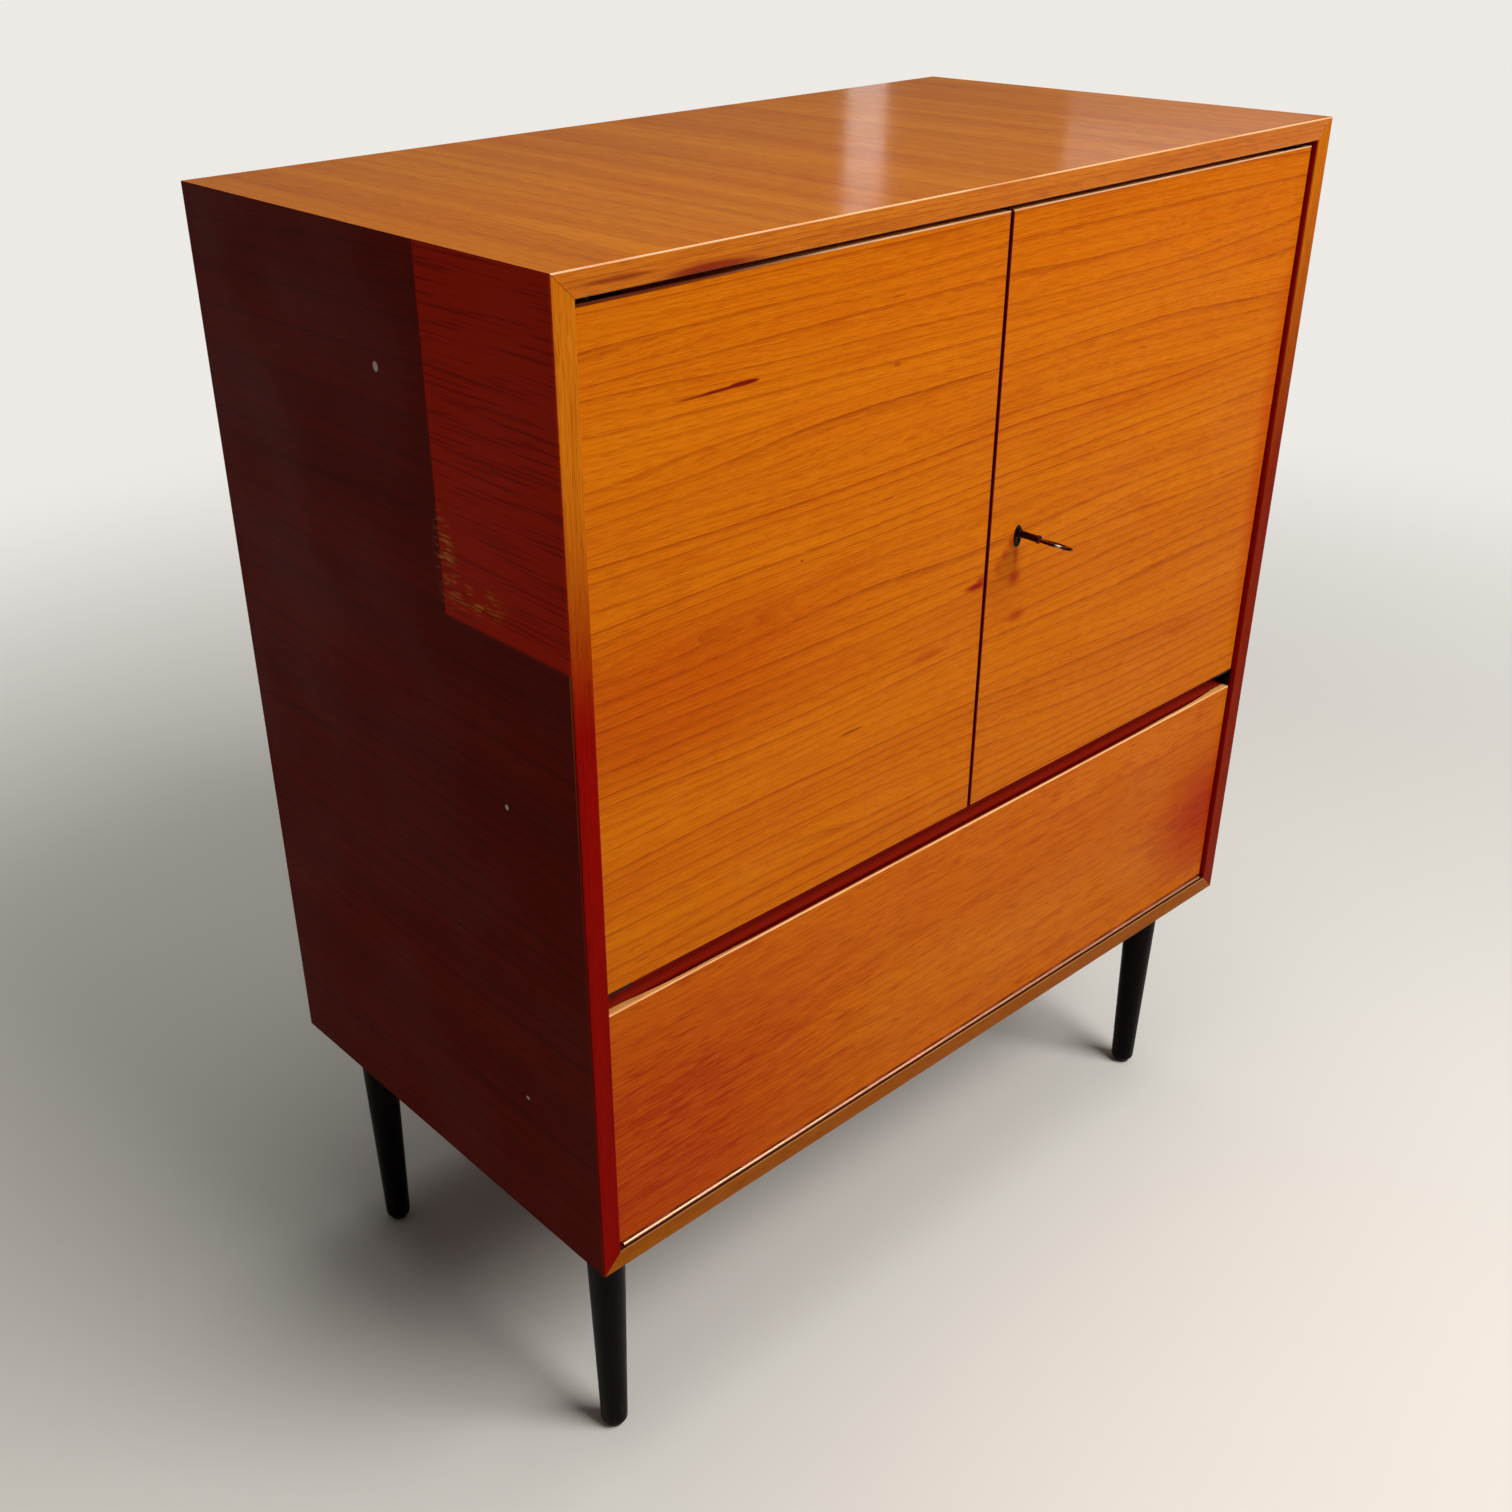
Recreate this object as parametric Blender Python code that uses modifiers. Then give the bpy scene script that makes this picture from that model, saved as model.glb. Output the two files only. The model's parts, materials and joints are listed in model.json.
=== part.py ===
"""Teak television cabinet of the 1960s on four turned black legs.

Four veneered boards, mitred at the corners, hold a television bay behind two doors on pivots and a lower bay
behind a drop flap on a piano hinge. Metres, +Z up, +Y towards the back. The origin lies on the floor, under the
middle of the whole cabinet with its key.
"""

import math

import bmesh
import bpy
from mathutils import Vector

# Carcass
CABINET_WIDTH = 0.950
CABINET_DEPTH = 0.508
BODY_HEIGHT = 0.878
BOARD = 0.0195
ARRIS = 0.0009
REBATE_WIDTH = 0.009
BACK_THICKNESS = 0.006
BACK_SETBACK = 0.001
CABLE_HOLE_RADIUS = 0.032
CABLE_HOLE_INSET = 0.110
CABLE_HOLE_RISE = 0.070
DIVIDER_THICKNESS = 0.0225
DIVIDER_GAP = 0.001
DIVIDER_DROP = 0.002

# Legs
LEG_HEIGHT = 0.274
LEG_TOP_RADIUS = 0.0195
LEG_FOOT_RADIUS = 0.0135
LEG_TOE_RADIUS = 0.006
LEG_INSET_SIDE = 0.0475
LEG_INSET_FRONT = 0.060
LEG_INSET_BACK = 0.052
LEG_PLATE_SIDE = 0.064
LEG_PLATE_THICKNESS = 0.003
LEG_PLATE_CORNER = 0.009
GLIDE_RADIUS = 0.009
GLIDE_HEIGHT = 0.004

# Fronts
FRONT_RECESS = 0.0055
SIDE_GAP = 0.002
MEETING_GAP = 0.003
DOOR_TOP_GAP = 0.005
DOOR_THICKNESS = 0.018
FINGER_GAP = 0.0215
FLAP_HEIGHT = 0.2515
FLAP_THICKNESS = 0.018
FLAP_LIP = 0.0035
FLAP_GROOVE_WIDTH = 0.006
FLAP_GROOVE_DEPTH = 0.010
FLAP_GROOVE_RUN_OUT = 0.088
FLAP_GROOVE_END = 0.007

# Door pivots and the rail that the doors close against
PIVOT_INSET = 0.016
PIVOT_DEPTH = 0.007
PIVOT_PIN_RADIUS = 0.0025
PIVOT_PIN_REACH = 0.009
PIVOT_PLATE_LENGTH = 0.036
PIVOT_PLATE_WIDTH = 0.010
PIVOT_PLATE_THICKNESS = 0.002
CEILING_PLATE_THICKNESS = 0.0015
BRACKET_REACH = 0.030
BRACKET_CLEARANCE = 0.0016
BRACKET_DEPTH = 0.017
BRACKET_THICKNESS = 0.002
STOP_HEIGHT = 0.016
STOP_DEPTH = 0.020
STOP_END_GAP = 0.045
STOP_GAP = 0.0005

# Lock in the right door
LOCK_BACKSET = 0.040
KEY_ABOVE_DOOR_BOTTOM = 0.270
CASE_WIDTH = 0.062
CASE_RISE = 0.026
CASE_DROP = 0.014
CASE_DEPTH = 0.012
CASE_WALL = 0.0015
CASE_EDGE_INSET = 0.0005
LOCK_BOLT_LENGTH = 0.040
LOCK_BOLT_HEIGHT = 0.010
LOCK_BOLT_THICKNESS = 0.0065
LOCK_BOLT_STANDOFF = 0.002
KEEPER_INSET = 0.001
KEEPER_LENGTH = 0.012
KEEPER_FOOT = 0.009
KEEPER_WALL = 0.0015
KEEPER_GAP = 0.0006
KEY_REACH = 0.054
KEY_SHANK_RADIUS = 0.0026
KEY_COLLAR_RADIUS = 0.0040
KEY_COLLAR_LENGTH = 0.024
KEY_BOW_WIDTH = 0.026
KEY_BOW_RIM = 0.0055
KEY_BOW_THICKNESS = 0.003
KEY_BIT_REACH = 0.0085
KEY_BIT_WIDTH = 0.006
KEY_BIT_THICKNESS = 0.0022
KEY_TILT = math.radians(20)
KEY_END_CLEARANCE = 0.0015
ESCUTCHEON_WIDTH = 0.0105
ESCUTCHEON_HEIGHT = 0.021
ESCUTCHEON_THICKNESS = 0.0012
KEYHOLE_SLOT = 0.0034

# Bolt on the left door
BOLT_INSET = 0.022
BOLT_WIDTH = 0.008
BOLT_THICKNESS = 0.005
BOLT_LENGTH = 0.066
BOLT_REST_GAP = 0.0015
BOLT_KNOB_RADIUS = 0.0035
BOLT_KNOB_REACH = 0.010
GUIDE_WIDTH = 0.022
GUIDE_LENGTH = 0.056
GUIDE_BASE = 0.004
GUIDE_LOOP = 0.009
GUIDE_LOOP_WALL = 0.0018

# Piano hinge under the flap
HINGE_RADIUS = 0.0016
HINGE_BORE_RADIUS = 0.0010
HINGE_PIN_RADIUS = 0.0007
HINGE_LEAF_WIDTH = 0.0165
HINGE_LEAF_THICKNESS = 0.0006
HINGE_KNUCKLE = 0.029
HINGE_END_GAP = 0.004

# Slotted stays between flap and sides
STAY_HEIGHT = 0.150
STAY_STANDOFF = 0.012
STAY_OPEN_ANGLE = math.radians(90)
STAY_ANCHOR_ANGLE = math.radians(58)
STAY_SIDE_GAP = 0.0040
STAY_ARM_WIDTH = 0.014
STAY_ARM_THICKNESS = 0.002
STAY_PIVOT_RADIUS = 0.0025
STAY_PIN_RADIUS = 0.003
STAY_PIN_HEAD_RADIUS = 0.0055
STAY_PIN_HEAD = 0.002
STAY_EAR_THICKNESS = 0.002
STAY_BASE_LENGTH = 0.024
STAY_BASE_HEIGHT = 0.026
STAY_BASE_THICKNESS = 0.0015
STAY_PLATE_LENGTH = 0.038

# Magnet catch of the flap
CATCH_WIDTH = 0.046
CATCH_DEPTH = 0.016
CATCH_OVERLAP = 0.026
CATCH_GAP = 0.0005
CATCH_PLATE_WIDTH = 0.040
CATCH_PLATE_HEIGHT = 0.012
CATCH_PLATE_THICKNESS = 0.0012

# Clearances and facets
SEAT_GAP = 0.0003
RUN_GAP = 0.0004
OVERLAP = 0.0005
ROUND_STEPS = 28
SMALL_STEPS = 16
CORNER_STEPS = 3
EDGE_SOFTENING = 0.0008

# Planes that the pieces share
FRONT = -(CABINET_DEPTH - KEY_REACH) / 2
BACK = FRONT + CABINET_DEPTH
BODY_BOTTOM = LEG_HEIGHT
BODY_TOP = BODY_BOTTOM + BODY_HEIGHT
BAY_FLOOR = BODY_BOTTOM + BOARD
CEILING = BODY_TOP - BOARD
INNER_HALF = CABINET_WIDTH / 2 - BOARD
REBATE_DEPTH = BACK_THICKNESS + BACK_SETBACK + SEAT_GAP
FACE = FRONT + FRONT_RECESS
DOOR_BACK = FACE + DOOR_THICKNESS
FLAP_BACK = FACE + FLAP_THICKNESS
HINGE_Y = FACE - SEAT_GAP - HINGE_RADIUS
HINGE_Z = BAY_FLOOR + SEAT_GAP + HINGE_RADIUS
FLAP_BOTTOM = HINGE_Z + HINGE_RADIUS + SEAT_GAP
FLAP_TOP = FLAP_BOTTOM + FLAP_HEIGHT
FLAP_HALF = INNER_HALF - SIDE_GAP
DOOR_BOTTOM = FLAP_TOP + FINGER_GAP
DOOR_TOP = CEILING - DOOR_TOP_GAP
BRACKET_FRONT = FACE + SEAT_GAP
DIVIDER_FRONT = max(DOOR_BACK, FLAP_BACK, BRACKET_FRONT + BRACKET_DEPTH) + DIVIDER_GAP
DIVIDER_TOP = DOOR_BOTTOM - DIVIDER_DROP
DIVIDER_BOTTOM = DIVIDER_TOP - DIVIDER_THICKNESS
STOP_TOP = CEILING - SEAT_GAP
STOP_BOTTOM = STOP_TOP - STOP_HEIGHT
PIVOT_Y = FACE + PIVOT_DEPTH
DOOR_EDGE = MEETING_GAP / 2
KEY_X = DOOR_EDGE + LOCK_BACKSET
KEY_Z = DOOR_BOTTOM + KEY_ABOVE_DOOR_BOTTOM
LOCK_BOLT_Y = DOOR_BACK + SEAT_GAP + LOCK_BOLT_STANDOFF + LOCK_BOLT_THICKNESS / 2
LOCK_BOLT_Z = KEY_Z + KEY_BIT_REACH + OVERLAP + LOCK_BOLT_HEIGHT / 2
BOLT_X = -DOOR_EDGE - BOLT_INSET
BOLT_Y = DOOR_BACK + SEAT_GAP + GUIDE_BASE + RUN_GAP + BOLT_THICKNESS / 2
BOLT_TOP = STOP_BOTTOM - BOLT_REST_GAP

# Rotations that stand a flat outline up: its x and y become the two axes named after the underscore
ALONG_X_YZ = (math.pi / 2, 0.0, math.pi / 2)
ALONG_Y_XZ = (math.pi / 2, 0.0, 0.0)
ALONG_Z_XY = (0.0, 0.0, 0.0)


def clear_scene():
    """Empty the scene and return the collections for the pieces and for the shapes that cut or join them."""
    for obj in list(bpy.data.objects):
        bpy.data.objects.remove(obj, do_unlink=True)
    made = []
    for name in ("tv_cabinet", "tv_cabinet_cutters"):
        collection = bpy.data.collections.new(name)
        bpy.context.scene.collection.children.link(collection)
        made.append(collection)
    return made


PARTS, CUTTERS = clear_scene()


def finish(name, colour, roughness, metallic=0.0):
    """A Principled material with a linear RGB colour."""
    material = bpy.data.materials.new(name)
    material.use_nodes = True
    shader = material.node_tree.nodes["Principled BSDF"]
    shader.inputs["Base Color"].default_value = (*colour, 1.0)
    shader.inputs["Roughness"].default_value = roughness
    shader.inputs["Metallic"].default_value = metallic
    material.diffuse_color = (*colour, 1.0)
    return material


TEAK = finish("teak_veneer", (0.42, 0.16, 0.035), 0.32)
INNER_WOOD = finish("inner_mahogany", (0.24, 0.085, 0.03), 0.5)
HARDBOARD = finish("back_hardboard", (0.22, 0.12, 0.055), 0.75)
BLACK_WOOD = finish("ebonised_beech", (0.012, 0.010, 0.009), 0.35)
BLACK_STEEL = finish("black_enamelled_steel", (0.010, 0.010, 0.011), 0.4, 0.2)
BRASS = finish("lacquered_brass", (0.60, 0.40, 0.14), 0.3, 1.0)
STEEL = finish("zinc_plated_steel", (0.50, 0.50, 0.48), 0.35, 1.0)
DARK_BRASS = finish("browned_brass", (0.16, 0.085, 0.03), 0.4, 1.0)
NYLON = finish("black_nylon", (0.02, 0.02, 0.02), 0.55)


def origin_of(obj):
    """World position of an object whose parents are all unturned."""
    total = Vector((0.0, 0.0, 0.0))
    while obj:
        total += obj.location
        obj = obj.parent
    return total


def joint_empty(name, location, parent=None):
    """An empty on a joint's axis, which the moving pieces hang from."""
    empty = bpy.data.objects.new(name, None)
    PARTS.objects.link(empty)
    empty.parent = parent
    empty.location = Vector(location) - origin_of(parent)
    return empty


def add(name, mesh, location, material=None, parent=None, rotation=ALONG_Z_XY):
    """A piece in its world place; with no material it is a cutter or a shape to be joined on."""
    obj = bpy.data.objects.new(name, mesh)
    obj.parent = parent
    obj.location = Vector(location) - origin_of(parent)
    obj.rotation_euler = rotation
    if material:
        mesh.materials.append(material)
        PARTS.objects.link(obj)
    else:
        CUTTERS.objects.link(obj)
        obj.hide_render = True
        obj.display_type = "WIRE"
    return obj


def boolean(target, other, operation):
    """Cut another shape from a piece, or join it on."""
    modifier = target.modifiers.new(f"{operation.lower()}_{other.name}", "BOOLEAN")
    modifier.operation = operation
    modifier.object = other
    return target


def box(name, low, high, material=None, parent=None, soften=0.0):
    """A box between two world corners, its edges rounded by soften."""
    low, high = Vector(low), Vector(high)
    mesh = bpy.data.meshes.new(name)
    shape = bmesh.new()
    bmesh.ops.create_cube(shape, size=1.0)
    bmesh.ops.scale(shape, vec=high - low, verts=shape.verts)
    shape.to_mesh(mesh)
    shape.free()
    obj = add(name, mesh, (low + high) / 2, material, parent)
    if soften:
        bevel = obj.modifiers.new("soften", "BEVEL")
        bevel.width = soften
        bevel.segments = 2
    return obj


def cylinder(name, radius, start, end, material=None, parent=None, steps=SMALL_STEPS):
    """A cylinder along X, Y or Z between two world points."""
    start, end = Vector(start), Vector(end)
    mesh = bpy.data.meshes.new(name)
    shape = bmesh.new()
    bmesh.ops.create_cone(
        shape, cap_ends=True, segments=steps, radius1=radius, radius2=radius, depth=(end - start).length
    )
    shape.to_mesh(mesh)
    shape.free()
    mesh.shade_smooth()
    mesh.set_sharp_from_angle(angle=math.radians(40))
    turn = Vector((0, 0, 1)).rotation_difference(end - start).to_euler()
    return add(name, mesh, (start + end) / 2, material, parent, turn)


def arc(centre, radius, start, end, steps):
    """Points of a circular arc from one angle to another, both ends included."""
    angles = [start + (end - start) * i / steps for i in range(steps + 1)]
    return [(centre[0] + radius * math.cos(a), centre[1] + radius * math.sin(a)) for a in angles]


def ellipse(centre, half_width, half_height, steps=ROUND_STEPS):
    """Points round an ellipse."""
    angles = [2 * math.pi * i / steps for i in range(steps)]
    return [(centre[0] + half_width * math.cos(a), centre[1] + half_height * math.sin(a)) for a in angles]


def rectangle(low, high):
    """The four corners of a rectangle, anticlockwise."""
    return [low, (high[0], low[1]), high, (low[0], high[1])]


def rounded_rectangle(half_width, half_height, radius):
    """A rectangle about the origin with round corners."""
    points = []
    for turn, (sx, sy) in enumerate(((1, 1), (-1, 1), (-1, -1), (1, -1))):
        centre = (sx * (half_width - radius), sy * (half_height - radius))
        start = turn * math.pi / 2
        points += arc(centre, radius, start, start + math.pi / 2, CORNER_STEPS)
    return points


def stadium(start, end, radius, angle=0.0, steps=SMALL_STEPS // 2):
    """A slot's outline along local x from start to end, turned by an angle about the local origin."""
    flat = arc((end, 0.0), radius, -math.pi / 2, math.pi / 2, steps)
    flat += arc((start, 0.0), radius, math.pi / 2, 3 * math.pi / 2, steps)
    c, s = math.cos(angle), math.sin(angle)
    return [(c * x - s * y, s * x + c * y) for x, y in flat]


def plate_mesh(name, outlines, thickness, join_flats=False):
    """A filled flat outline, inner ones being holes, extruded to a thickness about its own plane."""
    curve = bpy.data.curves.new(name, "CURVE")
    curve.dimensions = "2D"
    curve.fill_mode = "BOTH"
    curve.extrude = thickness / 2
    for points in outlines:
        spline = curve.splines.new("POLY")
        spline.points.add(len(points) - 1)
        for point, (x, y) in zip(spline.points, points):
            point.co = (x, y, 0.0, 1.0)
        spline.use_cyclic_u = True
    holder = bpy.data.objects.new(name, curve)
    bpy.context.scene.collection.objects.link(holder)
    graph = bpy.context.evaluated_depsgraph_get()
    mesh = bpy.data.meshes.new_from_object(holder.evaluated_get(graph))
    bpy.data.objects.remove(holder)
    shape = bmesh.new()
    shape.from_mesh(mesh)
    bmesh.ops.remove_doubles(shape, verts=shape.verts, dist=1e-6)
    if join_flats:
        bmesh.ops.dissolve_limit(
            shape, angle_limit=math.radians(0.5), verts=shape.verts, edges=shape.edges
        )
    bmesh.ops.recalc_face_normals(shape, faces=shape.faces)
    shape.to_mesh(mesh)
    shape.free()
    mesh.name = name
    return mesh


def plate(name, outlines, thickness, location, rotation, material=None, parent=None):
    """An extruded outline in its world place."""
    return add(name, plate_mesh(name, outlines, thickness), location, material, parent, rotation)


def turned(name, profile, location, material=None, parent=None, rotation=ALONG_Z_XY, steps=ROUND_STEPS):
    """A turned piece from (radius, height) points that run from the top of its axis to the bottom."""
    mesh = bpy.data.meshes.new(name)
    shape = bmesh.new()
    points = [shape.verts.new((radius, 0.0, height)) for radius, height in profile]
    for first, second in zip(points, points[1:]):
        shape.edges.new((first, second))
    shape.to_mesh(mesh)
    shape.free()
    obj = add(name, mesh, location, material, parent, rotation)
    screw = obj.modifiers.new("turn", "SCREW")
    screw.steps = screw.render_steps = steps
    screw.use_merge_vertices = True
    screw.merge_threshold = 1e-6
    screw.use_smooth_shade = True
    return obj


def carcass_board(name, outline, long_axis):
    """One mitred board, extruded over the cabinet's depth, with soft arrises along its length."""
    mesh = plate_mesh(name, [outline], CABINET_DEPTH, join_flats=True)
    shape = bmesh.new()
    shape.from_mesh(mesh)
    weights = shape.edges.layers.float.new("bevel_weight_edge")
    for edge in shape.edges:
        run = edge.verts[1].co - edge.verts[0].co
        edge[weights] = float(abs(run[long_axis]) > 0.999 * run.length)
    shape.to_mesh(mesh)
    shape.free()
    board = add(name, mesh, (0.0, FRONT + CABINET_DEPTH / 2, 0.0), TEAK, rotation=ALONG_Y_XZ)
    bevel = board.modifiers.new("arris", "BEVEL")
    bevel.limit_method = "WEIGHT"
    bevel.width = ARRIS
    bevel.segments = 2
    return board


def build_carcass():
    """The mitred box, its back, the divider and the rail that the doors close against."""
    half = CABINET_WIDTH / 2
    mitre = SEAT_GAP / math.sqrt(2)
    rebate = box(
        "back_rebate",
        (-INNER_HALF - REBATE_WIDTH, BACK - REBATE_DEPTH, BAY_FLOOR - REBATE_WIDTH),
        (INNER_HALF + REBATE_WIDTH, BACK + REBATE_DEPTH, CEILING + REBATE_WIDTH),
    )
    for name, outer, inner in (
        ("top_panel", BODY_TOP, CEILING),
        ("bottom_panel", BODY_BOTTOM, BAY_FLOOR),
    ):
        outline = [
            (-half + mitre, outer),
            (half - mitre, outer),
            (INNER_HALF - mitre, inner),
            (-INNER_HALF + mitre, inner),
        ]
        boolean(carcass_board(name, outline, long_axis=0), rebate, "DIFFERENCE")
    for name, side in (("left_side", -1), ("right_side", 1)):
        outline = [
            (side * half, BODY_BOTTOM + mitre),
            (side * half, BODY_TOP - mitre),
            (side * INNER_HALF, CEILING - mitre),
            (side * INNER_HALF, BAY_FLOOR + mitre),
        ]
        boolean(carcass_board(name, outline, long_axis=1), rebate, "DIFFERENCE")

    grip = REBATE_WIDTH - SEAT_GAP
    middle = (BAY_FLOOR + CEILING) / 2
    reach = (CEILING - BAY_FLOOR) / 2 + grip
    hole = (-INNER_HALF + CABLE_HOLE_INSET, DIVIDER_TOP + CABLE_HOLE_RISE - middle)
    plate(
        "back_panel",
        [
            rectangle((-INNER_HALF - grip, -reach), (INNER_HALF + grip, reach)),
            ellipse(hole, CABLE_HOLE_RADIUS, CABLE_HOLE_RADIUS),
        ],
        BACK_THICKNESS,
        (0.0, BACK - BACK_SETBACK - BACK_THICKNESS / 2, middle),
        ALONG_Y_XZ,
        HARDBOARD,
    )
    box(
        "divider_shelf",
        (-INNER_HALF + SEAT_GAP, DIVIDER_FRONT, DIVIDER_BOTTOM),
        (INNER_HALF - SEAT_GAP, BACK - REBATE_DEPTH - SEAT_GAP, DIVIDER_TOP),
        INNER_WOOD,
        soften=EDGE_SOFTENING,
    )
    rail = box(
        "door_stop_rail",
        (-INNER_HALF + STOP_END_GAP, DOOR_BACK + STOP_GAP, STOP_BOTTOM),
        (INNER_HALF - STOP_END_GAP, DOOR_BACK + STOP_GAP + STOP_DEPTH, STOP_TOP),
        INNER_WOOD,
        soften=EDGE_SOFTENING,
    )
    half_slot = Vector((BOLT_WIDTH / 2 + RUN_GAP, BOLT_THICKNESS / 2 + RUN_GAP, STOP_HEIGHT))
    slot_middle = Vector((BOLT_X, BOLT_Y, (STOP_BOTTOM + STOP_TOP) / 2))
    mortise = box("bolt_mortise", slot_middle - half_slot, slot_middle + half_slot)
    boolean(rail, mortise, "DIFFERENCE")


def build_legs():
    """Four tapered legs with rounded toes, the plates they screw into and their glides."""
    plate_top = BODY_BOTTOM - SEAT_GAP
    leg_top = plate_top - LEG_PLATE_THICKNESS - SEAT_GAP
    leg_foot = GLIDE_HEIGHT + SEAT_GAP
    toe = arc(
        (LEG_FOOT_RADIUS - LEG_TOE_RADIUS, leg_foot + LEG_TOE_RADIUS),
        LEG_TOE_RADIUS,
        0.0,
        -math.pi / 2,
        CORNER_STEPS + 1,
    )
    leg_profile = [
        (0.0, leg_top),
        (LEG_TOP_RADIUS - ARRIS, leg_top),
        (LEG_TOP_RADIUS, leg_top - ARRIS),
        *toe,
        (0.0, leg_foot),
    ]
    glide_profile = [
        (0.0, GLIDE_HEIGHT),
        (GLIDE_RADIUS, GLIDE_HEIGHT),
        (GLIDE_RADIUS, GLIDE_HEIGHT / 2),
        (GLIDE_RADIUS - GLIDE_HEIGHT / 2, 0.0),
        (0.0, 0.0),
    ]
    leg_x = CABINET_WIDTH / 2 - LEG_INSET_SIDE
    for row, y in (("front", FRONT + LEG_INSET_FRONT), ("back", BACK - LEG_INSET_BACK)):
        for hand, side in (("left", -1), ("right", 1)):
            place = (side * leg_x, y, 0.0)
            turned(f"leg_{row}_{hand}", leg_profile, place, BLACK_WOOD)
            turned(f"glide_{row}_{hand}", glide_profile, place, NYLON)
            outline = rounded_rectangle(LEG_PLATE_SIDE / 2, LEG_PLATE_SIDE / 2, LEG_PLATE_CORNER)
            plate(
                f"leg_plate_{row}_{hand}",
                [outline],
                LEG_PLATE_THICKNESS,
                (place[0], place[1], plate_top - LEG_PLATE_THICKNESS / 2),
                ALONG_Z_XY,
                BLACK_STEEL,
            )


def keyhole_outline(clearance):
    """A round hole for the key's shank with a slot below it for the bit, about the key's axis."""
    radius = KEY_SHANK_RADIUS + clearance
    slot_half = KEYHOLE_SLOT / 2
    meet = math.asin(slot_half / radius)
    ring = arc((0.0, 0.0), radius, -math.pi / 2 + meet, 3 * math.pi / 2 - meet, SMALL_STEPS)
    bottom = -KEY_BIT_REACH - OVERLAP
    return [*ring, (-slot_half, bottom), (slot_half, bottom)]


def build_door(hand, side):
    """A door with the plates let into its edges, and the carcass plate and bracket that carry their pins."""
    outer = INNER_HALF - SIDE_GAP
    pivot_x = side * (outer - PIVOT_INSET)
    axis = joint_empty(f"{hand}_door_axis", (pivot_x, PIVOT_Y, DOOR_BOTTOM))
    inner_x, outer_x = sorted((side * DOOR_EDGE, side * outer))
    door = box(
        f"{hand}_door",
        (inner_x, FACE, DOOR_BOTTOM),
        (outer_x, DOOR_BACK, DOOR_TOP),
        TEAK,
        axis,
        soften=EDGE_SOFTENING,
    )

    plate_radius = PIVOT_PLATE_WIDTH / 2
    inward = 0.0 if side < 0 else math.pi
    run = PIVOT_PLATE_LENGTH - PIVOT_PLATE_WIDTH
    outline = stadium(0.0, run, plate_radius, inward)
    recess = stadium(0.0, run, plate_radius + SEAT_GAP, inward)
    pin_hole = ellipse((0.0, 0.0), PIVOT_PIN_RADIUS + RUN_GAP, PIVOT_PIN_RADIUS + RUN_GAP, SMALL_STEPS)
    for end, edge, into in (("top", DOOR_TOP, -1), ("bottom", DOOR_BOTTOM, 1)):
        plate(
            f"{hand}_door_{end}_plate",
            [outline, pin_hole],
            PIVOT_PLATE_THICKNESS,
            (pivot_x, PIVOT_Y, edge + into * PIVOT_PLATE_THICKNESS / 2),
            ALONG_Z_XY,
            BRASS,
            axis,
        )
        depth = PIVOT_PLATE_THICKNESS + SEAT_GAP
        seat = plate(
            f"{hand}_{end}_plate_seat",
            [recess],
            2 * depth,
            (pivot_x, PIVOT_Y, edge),
            ALONG_Z_XY,
            parent=axis,
        )
        bore_end = edge + into * (PIVOT_PIN_REACH + OVERLAP)
        bore = cylinder(
            f"{hand}_{end}_pin_bore",
            PIVOT_PIN_RADIUS + 2 * RUN_GAP,
            (pivot_x, PIVOT_Y, edge),
            (pivot_x, PIVOT_Y, bore_end),
            parent=axis,
        )
        boolean(door, seat, "DIFFERENCE")
        boolean(door, bore, "DIFFERENCE")

    ceiling_plate = plate(
        f"{hand}_top_pivot",
        [outline],
        CEILING_PLATE_THICKNESS,
        (pivot_x, PIVOT_Y, CEILING - SEAT_GAP - CEILING_PLATE_THICKNESS / 2),
        ALONG_Z_XY,
        BRASS,
    )
    top_pin = cylinder(
        f"{hand}_top_pin",
        PIVOT_PIN_RADIUS,
        (pivot_x, PIVOT_Y, CEILING - SEAT_GAP - CEILING_PLATE_THICKNESS / 2),
        (pivot_x, PIVOT_Y, DOOR_TOP - PIVOT_PIN_REACH),
    )
    boolean(ceiling_plate, top_pin, "UNION")

    bracket_top = DOOR_BOTTOM - RUN_GAP
    bracket_foot = FLAP_TOP + BRACKET_CLEARANCE
    wall = side * (INNER_HALF - SEAT_GAP)
    bracket_outline = [
        (wall, bracket_top),
        (wall, bracket_foot),
        (wall - side * BRACKET_THICKNESS, bracket_foot),
        (wall - side * BRACKET_THICKNESS, bracket_top - BRACKET_THICKNESS),
        (wall - side * BRACKET_REACH, bracket_top - BRACKET_THICKNESS),
        (wall - side * BRACKET_REACH, bracket_top),
    ]
    bracket = plate(
        f"{hand}_bottom_pivot",
        [bracket_outline],
        BRACKET_DEPTH,
        (0.0, BRACKET_FRONT + BRACKET_DEPTH / 2, 0.0),
        ALONG_Y_XZ,
        BLACK_STEEL,
    )
    bottom_pin = cylinder(
        f"{hand}_bottom_pin",
        PIVOT_PIN_RADIUS,
        (pivot_x, PIVOT_Y, bracket_top - BRACKET_THICKNESS / 2),
        (pivot_x, PIVOT_Y, DOOR_BOTTOM + PIVOT_PIN_REACH),
    )
    boolean(bracket, bottom_pin, "UNION")
    return door, axis


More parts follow.
